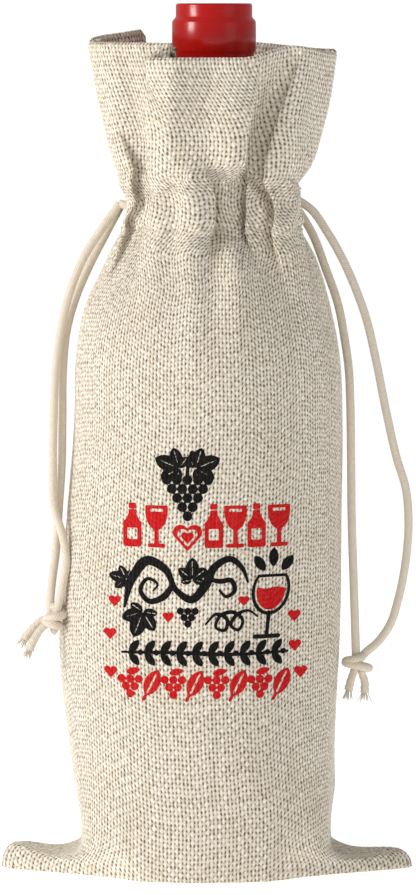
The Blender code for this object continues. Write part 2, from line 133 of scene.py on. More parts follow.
def giveUv(piece, byVertex, uvName):
    mesh = piece.data
    while mesh.uv_layers:
        mesh.uv_layers.remove(mesh.uv_layers[0])
    layer = mesh.uv_layers.new(name=uvName)
    corners = np.zeros(len(mesh.loops), np.int32)
    mesh.loops.foreach_get("vertex_index", corners)
    layer.uv.foreach_set("vector", byVertex[corners].astype(np.float32).ravel())


def meshPiece(name, points, faces, byVertex=None, uvName="along"):
    mesh = bpy.data.meshes.new(name)
    mesh.from_pydata([tuple(p) for p in points], [], [tuple(f) for f in faces])
    piece = bpy.data.objects.new(name, mesh)
    bpy.context.scene.collection.objects.link(piece)
    if byVertex is not None:
        giveUv(piece, np.asarray(byVertex, float), uvName)
    mesh.shade_smooth()
    mesh.update()
    return piece


def finishPiece(piece, finish, slotName, body, *nodes):
    piece.data.materials.clear()
    piece.data.materials.append(finish)
    if body:
        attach(piece, body)
    if nodes:
        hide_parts(*nodes)
    return piece


# nodes for finishes

def wire(kind, feeds, tree=None, **settings):
    # a node beside the sockets that feed it; each input takes a socket or a value
    sockets = [value for value in feeds.values() if isinstance(value, bpy.types.NodeSocket)]
    tree = tree or sockets[0].id_data
    made = tree.nodes.new(kind)
    for key, value in settings.items():
        setattr(made, key, value)
    for key, value in feeds.items():
        if isinstance(value, bpy.types.NodeSocket):
            tree.links.new(value, made.inputs[key])
        else:
            made.inputs[key].default_value = value
    return made


def calc(operation, first, second=0.0, third=0.0):
    return wire("ShaderNodeMath", {0: first, 1: second, 2: third}, operation=operation).outputs[0]


def plus(first, second):
    return calc("ADD", first, second)


def times(first, second):
    return calc("MULTIPLY", first, second)


def zigzag(value):
    # 0 at whole numbers, 1 half way between them
    return times(calc("PINGPONG", value, 0.5), 2.0)


def vectorCalc(operation, first, second):
    return wire("ShaderNodeVectorMath", {0: first, 1: second}, operation=operation).outputs[0]


def split(vector):
    return wire("ShaderNodeSeparateXYZ", {0: vector}).outputs


def joined(x, y):
    return wire("ShaderNodeCombineXYZ", {0: x, 1: y}).outputs[0]


def stretched(vector, x, y, z):
    return wire("ShaderNodeMapping", {0: vector, 3: (x, y, z)}).outputs[0]


def mixed(share, first, second):
    return wire("ShaderNodeMix", {0: share, 2: first, 3: second}, data_type="FLOAT").outputs[0]


def remap(value, low, high, toLow, toHigh):
    return wire("ShaderNodeMapRange", {0: value, 1: low, 2: high, 3: toLow, 4: toHigh}).outputs[0]


def noiseAt(vector, scale, detail=2.0, roughness=0.5):
    feeds = {"Vector": vector, "Scale": scale, "Detail": detail, "Roughness": roughness}
    return wire("ShaderNodeTexNoise", feeds).outputs["Fac"]


def rgb(red, green, blue):
    # screen values 0-255 to the linear values that shaders use
    return tuple(((v / 255 + 0.055) / 1.055) ** 2.4 for v in (red, green, blue)) + (1.0,)


def blend(share, first, second, mode="MIX"):
    feeds = {0: share, 6: first, 7: second}
    return wire("ShaderNodeMix", feeds, data_type="RGBA", blend_type=mode).outputs[2]


def tinted(tone, value, low, high, most, colour, mode="MULTIPLY"):
    # the colour comes in, up to "most", as the value goes from low to high
    return blend(remap(value, low, high, 0.0, most), tone, rgb(*colour), mode)


def startFinish(name, settings):
    finish = bpy.data.materials.new(name)
    finish.use_nodes = True
    for key, value in settings.items():
        finish.node_tree.nodes["Principled BSDF"].inputs[key].default_value = value
    return finish


def objectPlace(finish):
    return wire("ShaderNodeTexCoord", {}, finish.node_tree).outputs["Object"]


def ownUv(finish, uvName):
    return wire("ShaderNodeUVMap", {}, finish.node_tree, uv_map=uvName).outputs[0]


def painted(finish, tone, relief=None, strength=0.0, depth=0.0):
    tree = finish.node_tree
    shader = tree.nodes["Principled BSDF"]
    tree.links.new(tone, shader.inputs["Base Color"])
    if relief:
        bump = wire("ShaderNodeBump", {"Height": relief, "Strength": strength, "Distance": depth})
        tree.links.new(bump.outputs[0], shader.inputs["Normal"])
    return finish


# studio: camera, floor and soft light

studio = {
    "viewHeight": 0.3150,       # what the picture takes in, at the bag
    "cameraPlace": (0.000, -2.00, 0.300),
    "lookAt": (0.0004, 0.0, 0.1491),
    "worldLight": 0.46,
    "lights": {
        "keyLight": {"place": (-1.85, -0.80, 0.85), "size": 0.6, "power": 28.0, "colour": (1.0, 0.985, 0.96)},
        "fillLight": {"place": (1.30, -1.20, 0.60), "size": 1.0, "power": 1.5, "colour": (0.98, 0.99, 1.0)},
    },
    "floorSize": 12.0,
}


def aimAt(thing, target):
    direction = Vector(target) - thing.location
    thing.rotation_euler = direction.to_track_quat("-Z", "Y").to_euler()


def addAreaLight(name, place, size, power, colour):
    data = bpy.data.lights.new(name, "AREA")
    data.shape = "SQUARE"
    data.size = size
    data.energy = power
    data.color = colour
    light = bpy.data.objects.new(name, data)
    bpy.context.scene.collection.objects.link(light)
    light.location = place
    aimAt(light, (0, 0, 0.15))


def addStudio():
    camera = bpy.data.objects.new("camera", bpy.data.cameras.new("camera"))
    bpy.context.scene.collection.objects.link(camera)
    camera.location = studio["cameraPlace"]
    aimAt(camera, studio["lookAt"])
    distance = (Vector(studio["cameraPlace"]) - Vector(studio["lookAt"])).length
    camera.data.sensor_width = 36.0
    camera.data.lens = camera.data.sensor_width * distance / studio["viewHeight"]
    camera.data.clip_end = 50.0
    bpy.context.scene.camera = camera

    world = bpy.data.worlds.new("studioWorld")
    bpy.context.scene.world = world
    world.use_nodes = True
    tree = world.node_tree
    lit = tree.nodes["Background"]
    lit.inputs["Color"].default_value = (0.97, 0.98, 1.0, 1)
    lit.inputs["Strength"].default_value = studio["worldLight"]
    seen = wire("ShaderNodeBackground", {"Color": (1, 1, 1, 1), "Strength": 1.1}, tree)
    byCamera = wire("ShaderNodeLightPath", {}, tree).outputs["Is Camera Ray"]
    shown = wire("ShaderNodeMixShader", {0: byCamera, 1: lit.outputs[0], 2: seen.outputs[0]})
    tree.links.new(shown.outputs[0], tree.nodes["World Output"].inputs["Surface"])
    bpy.context.scene.view_settings.view_transform = "Standard"

    for name, light in studio["lights"].items():
        addAreaLight(name, **light)

    deselectAll()
    bpy.ops.mesh.primitive_plane_add(size=studio["floorSize"], location=(0, 0, 0))
    floor = bpy.context.active_object
    floor.name = "floor"
    floor.data.materials.append(startFinish("paleFloor", {
        "Base Color": (0.93, 0.93, 0.93, 1), "Roughness": 0.9,
        "Emission Color": (1, 1, 1, 1), "Emission Strength": 0.62,
    }))


addStudio()
print("studio ready")


# cloth and cord finishes

def weavePattern(finish):
    # plain weave in thread units: which thread is on top, relief, gaps, fibres and slubs
    uv = ownUv(finish, "threads")
    drift = wire("ShaderNodeTexNoise", {"Vector": uv, "Scale": 0.23, "Detail": 2.0}).outputs["Color"]
    drift = vectorCalc("MULTIPLY", vectorCalc("ADD", drift, (-0.5, -0.5, -0.5)), (0.14, 0.14, 0.0))
    u, v, _ = split(vectorCalc("ADD", uv, drift))
    acrossU, acrossV = zigzag(u), zigzag(v)
    crossing = times(calc("SINE", times(u, math.pi)), calc("SINE", times(v, math.pi)))
    warpOver = remap(crossing, -0.05, 0.05, 0.0, 1.0)
    warp = times(calc("POWER", acrossU, 0.55), calc("POWER", acrossV, 0.22))
    weft = times(calc("POWER", acrossV, 0.55), calc("POWER", acrossU, 0.22))
    relief = mixed(warpOver, weft, warp)
    # low at the upright gaps where four threads meet, some gaps wider than others, and a little lower where
    # the relief falls; the burlap paints shade where it is low
    gap = plus(times(calc("MAXIMUM", acrossU, times(acrossV, 0.62)), 0.8), times(relief, 0.2))
    openness = plus(gap, times(calc("SUBTRACT", noiseAt(uv, 0.83, 1.0), 0.5), 0.9))
    # streaks along whichever thread is on top, and slubs from thread to thread
    alongWeft, alongWarp = (noiseAt(stretched(uv, *scale, 1.0), 1.0) for scale in ((0.9, 5.5), (5.5, 0.9)))
    fibres = mixed(warpOver, alongWeft, alongWarp)
    slubWeft = noiseAt(joined(times(u, 0.07), calc("FLOOR", v)), 0.77, 1.0)
    slubWarp = noiseAt(joined(calc("FLOOR", u), times(v, 0.07)), 0.77, 1.0)
    height = plus(relief, times(fibres, 0.25))
    return warpOver, openness, fibres, mixed(warpOver, slubWeft, slubWarp), height


# painted shade: gap is the shade in the holes between threads, edge a half shade where the threads round down
# to them, weft the shade on the lower threads; thread, slub, fibre and patch are the cloth's own colours
burlapColours = {
    "gap": (120, 106, 88), "edge": (220, 210, 194), "thread": (255, 251, 243), "weft": (224, 217, 205),
    "slub": (236, 229, 218), "fibre": (230, 224, 213), "patch": (243, 239, 231),
}
cordColours = {"pale": (240, 230, 214), "shade": (214, 200, 180), "plies": 6, "pitch": 0.0050}


def burlapFinish():
    colours = burlapColours
    finish = startFinish("burlapWeave", {"Roughness": 0.93, "Sheen Weight": 0.12})
    warpOver, openness, fibres, slubs, height = weavePattern(finish)
    # painted shade: dark gap colour in the hollows, half shade at the thread edges, bright thread tops
    ramp = wire("ShaderNodeValToRGB", {0: openness})
    stops = ramp.color_ramp.elements
    stops[0].position, stops[1].position = 0.16, 0.66
    stops[0].color, stops[1].color = rgb(*colours["gap"]), rgb(*colours["thread"])
    stops.new(0.38).color = rgb(*colours["edge"])
    # the weft lies a little lower, in shade
    tone = blend(remap(warpOver, 0.0, 1.0, 0.55, 0.0), ramp.outputs[0], rgb(*colours["weft"]), "MULTIPLY")
    tone = tinted(tone, slubs, 0.32, 0.68, 0.75, colours["slub"])
    tone = tinted(tone, fibres, 0.3, 0.7, 0.6, colours["fibre"])
    tone = tinted(tone, noiseAt(objectPlace(finish), 26.0, 3.0), 0.35, 0.65, 0.22, colours["patch"])
    return painted(finish, tone, height, 0.75, 0.00045)


def inkFinish(name, ink, worn):
    # ink soaked into the cloth: the weave stays visible, and the hollows stay thinly covered
    finish = startFinish(name, {"Roughness": 0.86, "Specular IOR Level": 0.18})
    warpOver, openness, fibres, slubs, height = weavePattern(finish)
    bare = times(remap(openness, 0.15, 0.40, 1.0, 0.0), remap(fibres, 0.35, 0.6, 0.3, 1.0))
    tone = blend(times(bare, 0.22), rgb(*ink), rgb(*worn))
    return painted(finish, tinted(tone, slubs, 0.4, 0.7, 0.09, worn, "MIX"), height, 0.7, 0.0004)


def cottonFinish():
    # twisted cotton: UV runs along the cord in metres, and once round it
    finish = startFinish("twistedCotton", {"Roughness": 0.88, "Sheen Weight": 0.25})
    pale, shade, plies = cordColours["pale"], cordColours["shade"], float(cordColours["plies"])
    uv = ownUv(finish, "along")
    along, around, _ = split(uv)
    twist = plus(times(around, plies), times(times(along, 1.0 / cordColours["pitch"]), plies))
    lay, yarns = zigzag(twist), zigzag(times(twist, 4.0))
    fuzz = noiseAt(stretched(uv, 900.0, 7.0, 1.0), 1.0, 4.0)
    tone = blend(calc("POWER", lay, 0.7), rgb(*shade), rgb(*pale))
    tone = blend(remap(yarns, 0.0, 0.5, 0.28, 0.0), tone, rgb(*shade), "MULTIPLY")
    tone = tinted(tone, fuzz, 0.35, 0.65, 0.3, shade)
    return painted(finish, tone, plus(lay, plus(times(yarns, 0.3), times(fuzz, 0.4))), 0.45, 0.00016)


bagCloth = burlapFinish()
cordCotton = cottonFinish()
print("finishes ready")


# drawstring cords

cord = {
    "diameter": 0.0030,
    "tailDiameter": 0.0026,
    "sides": 14,
    "ringStep": 0.0008,
    "plies": 3,
    "pitch": 0.0062,
    "plyDepth": 0.012,          # share of the radius
    "fibres": 16,               # loose threads at each cut end
    "fibreLength": 0.0042,
}
# each strand runs from its exit to the knot, and each tail from the knot to its cut end;
# a knot's values are its centre, size, tilt, turns and how far its last turn crosses the others
drawstrings = {
    "left": {
        "strands": {
            "outer": (
                (-0.0306, -0.0024, 0.2350), (-0.0368, -0.0032, 0.2262), (-0.0430, -0.0040, 0.2165),
                (-0.0482, -0.0046, 0.2036), (-0.0512, -0.0052, 0.1908), (-0.0530, -0.0056, 0.1778),
                (-0.0538, -0.0064, 0.1588), (-0.0540, -0.0078, 0.1440), (-0.0533, -0.0104, 0.1281),
                (-0.0504, -0.0128, 0.1186), (-0.0492, -0.0140, 0.1105), (-0.0503, -0.0146, 0.1029),
                (-0.0520, -0.0144, 0.0950), (-0.0532, -0.0141, 0.0908),
            ),
            "inner": (
                (-0.0300, 0.0020, 0.2346), (-0.0362, 0.0012, 0.2230), (-0.0416, 0.0004, 0.2125),
                (-0.0464, -0.0006, 0.2010), (-0.0492, -0.0016, 0.1906), (-0.0505, -0.0022, 0.1778),
                (-0.0508, -0.0030, 0.1588), (-0.0510, -0.0044, 0.1440), (-0.0520, -0.0066, 0.1281),
                (-0.0532, -0.0090, 0.1112), (-0.0543, -0.0112, 0.1029), (-0.0549, -0.0124, 0.0950),
                (-0.0546, -0.0132, 0.0908),
            ),
        },
        "tails": {
            "outer": (
                (-0.0552, -0.0146, 0.0886), (-0.0578, -0.0152, 0.0868), (-0.0600, -0.0158, 0.0836),
                (-0.0622, -0.0162, 0.0792),
            ),
            "inner": (
                (-0.0552, -0.0130, 0.0898), (-0.0580, -0.0122, 0.0892), (-0.0608, -0.0118, 0.0866),
                (-0.0640, -0.0114, 0.0826),
            ),
        },
        "knot": ((-0.0535, -0.0138, 0.0897), (0.0080, 0.0080, 0.0112), 0.30, 2.6, 0.0012),
        "seed": 11,
    },
    "right": {
        "strands": {
            "outer": (
                (0.0310, -0.0022, 0.2368), (0.0365, -0.0026, 0.2330), (0.0419, -0.0034, 0.2255),
                (0.0472, -0.0040, 0.2163), (0.0516, -0.0044, 0.2066), (0.0559, -0.0046, 0.1947),
                (0.0591, -0.0046, 0.1813), (0.0629, -0.0044, 0.1624), (0.0667, -0.0040, 0.1457),
                (0.0700, -0.0036, 0.1345), (0.0709, -0.0034, 0.1245), (0.0699, -0.0032, 0.1086),
                (0.0672, -0.0032, 0.0950), (0.0646, -0.0034, 0.0870), (0.0600, -0.0040, 0.0805),
                (0.0556, -0.0050, 0.0768), (0.0540, -0.0054, 0.0750),
            ),
            "inner": (
                (0.0306, 0.0022, 0.2350), (0.0372, 0.0036, 0.2240), (0.0418, 0.0034, 0.2120),
                (0.0460, 0.0030, 0.2000), (0.0486, 0.0020, 0.1866), (0.0500, 0.0004, 0.1758),
                (0.0504, -0.0012, 0.1658), (0.0507, -0.0030, 0.1450), (0.0509, -0.0044, 0.1254),
                (0.0517, -0.0052, 0.1000), (0.0524, -0.0056, 0.0785),
                (0.0525, -0.0057, 0.0748),
            ),
        },
        "tails": {
            "outer": (
                (0.0521, -0.0064, 0.0716), (0.0512, -0.0072, 0.0692), (0.0504, -0.0080, 0.0668),
                (0.0498, -0.0086, 0.0642),
            ),
            "inner": (
                (0.0540, -0.0052, 0.0716), (0.0548, -0.0046, 0.0692), (0.0556, -0.0042, 0.0666),
                (0.0556, -0.0040, 0.0630),
            ),
        },
        "knot": ((0.0530, -0.0056, 0.0731), (0.0114, 0.0090, 0.0088), 0.15, 1.9, 0.0016),
        "seed": 21,
    },
}


def smoothRoute(points, spacing):
    # evenly spaced points on a smooth curve through the given ones
    points = np.array(points, float)
    lengths = runAlong(points)
    fine = np.array([smoothCurve(w, lengths, points) for w in np.linspace(0, lengths[-1], 600)])
    run = runAlong(fine)
    marks = np.linspace(0, run[-1], max(2, round(run[-1] / spacing)) + 1)
    return np.stack([np.interp(marks, run, fine[:, axis]) for axis in range(3)], axis=1)


def tubeArrays(path, radii, sides, plies=0, pitch=1.0, plyDepth=0.0):
    # rings of points along a path, carried without twisting
    path = np.asarray(path, float)
    count = len(path)
    along = unit(np.gradient(path, axis=0))
    side = unit(np.cross(along[0], (0.0, 1.0, 0.3)))
    run = runAlong(path)
    angles = np.linspace(0, 2 * math.pi, sides, endpoint=False)
    points, uvs = [], []
    radii = np.broadcast_to(radii, (count,))
    for k in range(count):
        side = unit(side - along[k] * (side @ along[k]))
        other = np.cross(along[k], side)
        lay = np.abs(np.cos((plies * angles + 2 * math.pi * plies * run[k] / pitch) / 2))
        reach = (radii[k] * (1 + plyDepth * (lay * 2 - 1)))[:, None]
        points.append(path[k] + reach * (np.cos(angles)[:, None] * side + np.sin(angles)[:, None] * other))
        uvs += [(run[k], a / (2 * math.pi)) for a in angles]
    faces = [
        (k * sides + s, k * sides + (s + 1) % sides, (k + 1) * sides + (s + 1) % sides, (k + 1) * sides + s)
        for k in range(count - 1) for s in range(sides)
    ]
    faces.append(tuple(range(sides))[::-1])
    faces.append(tuple((count - 1) * sides + s for s in range(sides)))
    return np.concatenate(points), faces, uvs


def cordTube(path, radii, plyDepth=cord["plyDepth"]):
    return tubeArrays(path, radii, cord["sides"], cord["plies"], cord["pitch"], plyDepth)


def withTubes(points, faces, uvs, tubes):
    # more tubes joined to the same mesh
    points = list(points)
    for more, moreFaces, moreUvs in tubes:
        faces += [tuple(len(points) + k for k in face) for face in moreFaces]
        points += list(more)
        uvs += moreUvs
    return points, faces, uvs


def addCord(name, route, step=cord["ringStep"]):
    path = smoothRoute(route, step)
    return meshPiece(name, *cordTube(path, cord["diameter"] / 2)), path


def addKnot(name, centre, size, tilt, turns, crossing):
    # the cord wound round itself, with one turn drawn across the others
    reach = (np.array(size) - cord["diameter"]) * (0.5, 0.5, 1)
    t = np.linspace(0, 1, 150)
    angle = 2 * math.pi * turns * t
    taper = np.minimum(1.0, np.minimum(t, 1 - t) * 9)
    lift = reach[2] * (t - 0.5) + crossing * np.sin(angle * 0.5 + 0.6) * taper
    narrow = 0.25 + 0.75 * taper
    wound = np.stack([reach[0] * narrow * np.cos(angle), reach[1] * narrow * np.sin(angle), lift], axis=1)
    cos, sin = math.cos(tilt), math.sin(tilt)
    turned = wound @ np.array([[cos, 0, -sin], [0, 1, 0], [sin, 0, cos]])
    return meshPiece(name, *cordTube(turned + np.array(centre), cord["diameter"] / 2))


def addTail(name, route, seed):
    # a cut end: the twist opens and its threads fan out
    rng = np.random.default_rng(seed)
    path = smoothRoute(route, 0.0005)
    opening = np.linspace(0, 1, len(path))
    tube = cordTube(path, cord["tailDiameter"] / 2 * (1 + 0.18 * opening ** 3), 0.10)
    end, along = path[-1], unit(path[-1] - path[-4])
    side = unit(np.cross(along, (0.0, 1.0, 0.0)))
    other = np.cross(along, side)
    s = np.linspace(0, 1, 6)[:, None]
    fibres = []
    for k in range(cord["fibres"]):
        angle = 2 * math.pi * (k + rng.uniform(-0.3, 0.3)) / cord["fibres"]
        out = side * math.cos(angle) + other * math.sin(angle)
        root = end - along * 0.0009 + out * rng.uniform(0.0002, 0.0011)
        length = cord["fibreLength"] * rng.uniform(0.55, 1.0)
        spread = rng.uniform(0.1, 0.55)
        fibre = root + length * (along * s + out * spread * s ** 1.6) + np.array((0, 0, -0.0006)) * s ** 2
        fibres.append(tubeArrays(fibre, 0.00021 * (1 - 0.55 * s[:, 0]), 5))
    return meshPiece(name, *withTubes(*tube, fibres))


def addDrawstring(side):
    shape = drawstrings[side]
    knotted = addKnot(f"{side}KnotTurns", *shape["knot"])
    finishPiece(knotted, cordCotton, "cotton_cord", f"{side}_knotted_end", f"{side}_knot")
    ends = []
    for word, route in shape["tails"].items():
        end = addTail(f"{side}{word.capitalize()}FrayedEnd", route, shape["seed"] + len(ends))
        finishPiece(end, cordCotton, "cotton_cord", f"{side}_knotted_end", f"{side}_{word}_tail")
        ends.append(end)
    for word, route in shape["strands"].items():
        strand, path = addCord(f"{side}{word.capitalize()}Cord", route)
        finishPiece(strand, cordCotton, "cotton_cord", None, f"{side}_{word}_strand")
        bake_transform(strand)


for side in drawstrings:
    addDrawstring(side)
print("cords ready")


# the bag's shape

bagShape = {
    # height, left edge, right edge, half depth: the same stations as the CAD panels
    "outline": (
        (0.0010, -0.0440, 0.0432, 0.0396), (0.0170, -0.0447, 0.0444, 0.0405),
        (0.0400, -0.0480, 0.0450, 0.0415), (0.0840, -0.0523, 0.0468, 0.0425),
        (0.1250, -0.0495, 0.0475, 0.0420), (0.1590, -0.0467, 0.0478, 0.0415),
        (0.1830, -0.0457, 0.0466, 0.0405), (0.1985, -0.0426, 0.0436, 0.0375),
        (0.2165, -0.0348, 0.0380, 0.0320), (0.2285, -0.0290, 0.0318, 0.0275),
        (0.2360, -0.0285, 0.0292, 0.0262), (0.2485, -0.0330, 0.0370, 0.0290),
        (0.2640, -0.0370, 0.0415, 0.0310), (0.2920, -0.0420, 0.0460, 0.0330),
    ),
    "roundness": 1.1,           # over 1, the panels meet in a ridge at the side seams
    "footRoundness": 0.52,      # squarer on the ground, up to squareBelow
    "squareBelow": 0.075,
    "flatLength": 0.338,        # of each panel before it is filled
    "warpThreads": 104,
    "weftThreads": 206,
    "threadRelief": 0.00019,
    "seamGap": 0.00010,
    "seamTurns": (0.0011, 0.0030),      # how far the cut edges turn in behind the side seams
    "cornerReachIn": 0.050,     # the corners shape the foot this far in from each side seam
    "earWidth": 0.036,
    "plainFootRise": 0.0038,    # of the foot's edge between the corners
    "collarFrom": 0.250,        # the rim's rise and fall is shared out above this
    "cornerReach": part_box("front_base_fold")[1].x,
    "cornerSlope": 0.66,
    "cornerNose": 0.0050,
    "cornerRise": {-1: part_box("left_corner_fold")[1].z, 1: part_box("right_corner_fold")[1].z},
    "earShare": 0.90,           # height of the flattened corner, as a share of its CAD height
    "earShares": (0.0, 0.02, 0.09, 0.45, 0.82, 0.97, 1.0, 1.0),
    "earClimb": (0.0, 0.62, 1.0, 0.94, 0.84, 0.98, 1.0),      # from the ear's edge in to the wall
    "uprightClimb": (0.0017, 0.0028, 0.0048, 0.0080, 0.0120, 0.0160, 0.0205),
    "wallFrom": 0.028,          # above this the cloth stands free of the corners
    "rimHeight": 0.2900,
    "rimRoll": 0.0010,
    "exitHeight": 0.2350, "exitHalfHeight": 0.0070, "exitHalfWidth": 0.0042,
    "lowerStitch": 0.2262,
    "puff": 0.0026,             # how far the channel swells between its stitch rows
}
outlineHeights = np.array([row[0] for row in bagShape["outline"]])
outlineSizes = np.array([row[1:] for row in bagShape["outline"]])

# Front (-1) and back (1) pleats: line of (height, x), width, turn back, depth, and the heights where it
# starts, is full, fades and ends. A turn back over 0.32 doubles the cloth back on itself, and a positive
# depth puts the layer to its right in front.
pleats = {
    -1: (
        (((0.190, -0.0315), (0.212, -0.0244), (0.228, -0.0180), (0.240, -0.0166), (0.290, -0.0166)),
             0.0050, 1.20, 0.0040, (0.196, 0.230, 0.295, 0.320)),
        (((0.195, -0.0150), (0.236, -0.0070), (0.252, -0.0060)),
             0.0045, 0.30, 0.0010, (0.200, 0.228, 0.240, 0.254)),
        (((0.195, 0.0040), (0.228, 0.0002), (0.246, -0.0002)),
             0.0042, 1.10, -0.0027, (0.214, 0.231, 0.238, 0.254)),
        (((0.195, 0.0215), (0.224, 0.0156), (0.246, 0.0162)),
             0.0042, 1.10, 0.0027, (0.212, 0.230, 0.238, 0.252)),
        (((0.240, 0.0104), (0.263, 0.0114), (0.290, 0.0196)),
             0.0046, 1.10, -0.0034, (0.2415, 0.249, 0.262, 0.300)),
        (((0.195, 0.0300), (0.228, 0.0220), (0.243, 0.0208), (0.285, 0.0320)),
             0.0042, 1.10, 0.0028, (0.200, 0.229, 0.258, 0.302)),
        (((0.195, -0.0400), (0.236, -0.0255), (0.280, -0.0370)),
             0.0032, 0.90, -0.0019, (0.200, 0.228, 0.246, 0.268)),
        (((0.195, 0.0400), (0.236, 0.0268), (0.280, 0.0420)),
             0.0032, 0.90, -0.0020, (0.200, 0.228, 0.246, 0.272)),
    ),
    1: (
        (((0.190, -0.0340), (0.228, -0.0215), (0.290, -0.0275)),
             0.0048, 1.15, 0.0030, (0.196, 0.230, 0.295, 0.320)),
        (((0.190, -0.0150), (0.228, -0.0095), (0.290, -0.0100)),
             0.0042, 1.10, -0.0026, (0.193, 0.226, 0.252, 0.284)),
        (((0.190, 0.0040), (0.228, 0.0010), (0.290, 0.0060)),
             0.0042, 1.15, 0.0028, (0.192, 0.226, 0.256, 0.292)),
        (((0.190, 0.0210), (0.228, 0.0120), (0.290, 0.0190)),
             0.0042, 1.10, -0.0027, (0.194, 0.228, 0.250, 0.290)),
        (((0.190, 0.0340), (0.228, 0.0220), (0.290, 0.0330)),
             0.0040, 1.00, 0.0024, (0.197, 0.228, 0.248, 0.276)),
    ),
}
# Where the upper stitch row dips and arches between the pleats (x, height)
stitchArches = {
    -1: ((-0.0330, 0.2440), (-0.0250, 0.2475), (-0.0190, 0.2385), (-0.0127, 0.2400), (-0.0046, 0.2478),
         (0.0030, 0.2470), (0.0105, 0.2405), (0.0160, 0.2440), (0.0205, 0.2400), (0.0255, 0.2445),
         (0.0330, 0.2405)),
    1: ((-0.0330, 0.2440), (-0.0215, 0.2405), (-0.0150, 0.2455), (-0.0095, 0.2410), (-0.0040, 0.2460),
        (0.0010, 0.2412), (0.0065, 0.2458), (0.0120, 0.2410), (0.0220, 0.2450), (0.0330, 0.2410)),
}
rimLine = {
    -1: ((-0.0170, 0.2852), (0.0120, 0.2852), (0.0310, 0.2893), (0.0460, 0.2868)),
    1: ((-0.0275, 0.2898), (0.0120, 0.2905), (0.0460, 0.2880)),
}
rimLeftFlap = {-1: (0.2905, 0.2902), 1: (0.2915, 0.2952)}   # outer and inner end of the left flap's edge


gatherHeights = (0.185, 0.212, 0.230, 0.246, 0.270)
# hollows that the drawn cords pull into the neck: x at each gather height, depth, half width
puckers = {
    -1: (
        ((-0.0400, -0.0330, -0.0245, -0.0262, -0.0330), 0.0020, 0.0022),
        ((-0.0300, -0.0245, -0.0188, -0.0186, -0.0184), 0.0030, 0.0019),
        ((-0.0185, -0.0136, -0.0095, -0.0122, -0.0160), 0.0019, 0.0023),
        ((0.0004, 0.0014, 0.0024, 0.0010, -0.0010), 0.0030, 0.0024),
        ((0.0225, 0.0184, 0.0156, 0.0174, 0.0202), 0.0026, 0.0023),
        ((0.0320, 0.0262, 0.0212, 0.0225, 0.0300), 0.0025, 0.0022),
        ((0.0425, 0.0350, 0.0268, 0.0300, 0.0380), 0.0020, 0.0022),
    ),
    1: (
        ((-0.0400, -0.0330, -0.0240, -0.0262, -0.0330), 0.0022, 0.0022),
        ((-0.0250, -0.0190, -0.0150, -0.0160, -0.0180), 0.0026, 0.0024),
        ((-0.0060, -0.0050, -0.0040, -0.0030, -0.0010), 0.0028, 0.0024),
        ((0.0110, 0.0080, 0.0064, 0.0090, 0.0130), 0.0026, 0.0023),
        ((0.0260, 0.0215, 0.0170, 0.0190, 0.0240), 0.0026, 0.0023),
        ((0.0420, 0.0350, 0.0262, 0.0290, 0.0370), 0.0022, 0.0022),
    ),
}


# upright hollows in the open collar: x at mid height, lean, depth, half width; under 0 deep is a ridge
collarHollows = {
    -1: ((-0.0275, -0.10, 0.0034, 0.0042), (-0.0125, 0.05, -0.0016, 0.0034), (0.0010, 0.0, 0.0012, 0.0060),
         (0.0205, 0.30, 0.0034, 0.0040), (0.0345, 0.25, 0.0014, 0.0034)),
    1: ((-0.0300, -0.10, 0.0026, 0.0045), (-0.0060, 0.0, -0.0014, 0.0045), (0.0140, 0.10, 0.0022, 0.0050),
        (0.0310, 0.20, 0.0026, 0.0040)),
}


def puckered(side, x, height):
    share = rising(height, 0.186, 0.038) * (1 - rising(height, 0.240, 0.026))
    sunk = np.zeros(len(x))
    for line, depth, halfWidth in puckers[side]:
        wide = halfWidth * (1 + abs(height - 0.232) / 0.013)
        away = (x - np.interp(height, gatherHeights, line)) / wide
        sunk -= depth * (np.exp(-away * away) - 0.4 * np.exp(-(away / 2.4) ** 2))
    return share * sunk


def section(height):
    left, right, depth = smoothCurve(height, outlineHeights, outlineSizes)
    return (left + right) / 2, (right - left) / 2, depth


def arched(where, stations):
    # smooth scallops through (place, value) stations
    places = np.array([s[0] for s in stations])
    values = np.array([s[1] for s in stations])
    index = np.clip(np.searchsorted(places, where) - 1, 0, len(places) - 2)
    t = smoothStep((where - places[index]) / (places[index + 1] - places[index]))
    return values[index] + (values[index + 1] - values[index]) * t


def channelSwell(side, x, height):
    # the gathered channel stands out between its two stitch rows and is pinched at each
    upper = arched(x, stitchArches[side])
    lower = bagShape["lowerStitch"] + 0.0014 * np.sin(x * 520 + side)
    t = np.clip((height - lower) / (upper - lower), 0, 1)
    inside = bagShape["puff"] * (4 * t * (1 - t)) ** 0.6 - 0.0018 * t - 0.0006 * (1 - t)
    above = -0.0018 * np.exp(-np.maximum(height - upper, 0) / 0.0055)
    below = -0.0006 * np.exp(-np.maximum(lower - height, 0) / 0.0040)
    return np.where(height > upper, above, np.where(height < lower, below, inside))


def pleatShare(rise, height):
    start, full, hold, end = rise
    risen = smoothStep((height - start) / (full - start))
    return float(risen * (1 - smoothStep((height - hold) / (end - hold))))


def slackWaves(side, x, height):
    # slow hollows and swells of loose cloth
    waves = ripple(x * 95, height * 48, 3 + side) * 0.00045
    creases = ripple(x * 210 + height * 60, height * 90, 9 + side) * 0.00016
    shoulder = ripple(x * 330, height * 40, 15 + side) * 0.0007 * hill(height, 0.205, 0.030)
    collar = float(rising(height, 0.243, 0.014) * (1 - 0.45 * rising(height, 0.270, 0.020)))
    for centre, lean, depth, halfWidth in collarHollows[side]:
        away = (x - centre - lean * (height - 0.262)) / halfWidth
        creases = creases - collar * depth * np.exp(-away * away)
    return waves + creases + shoulder


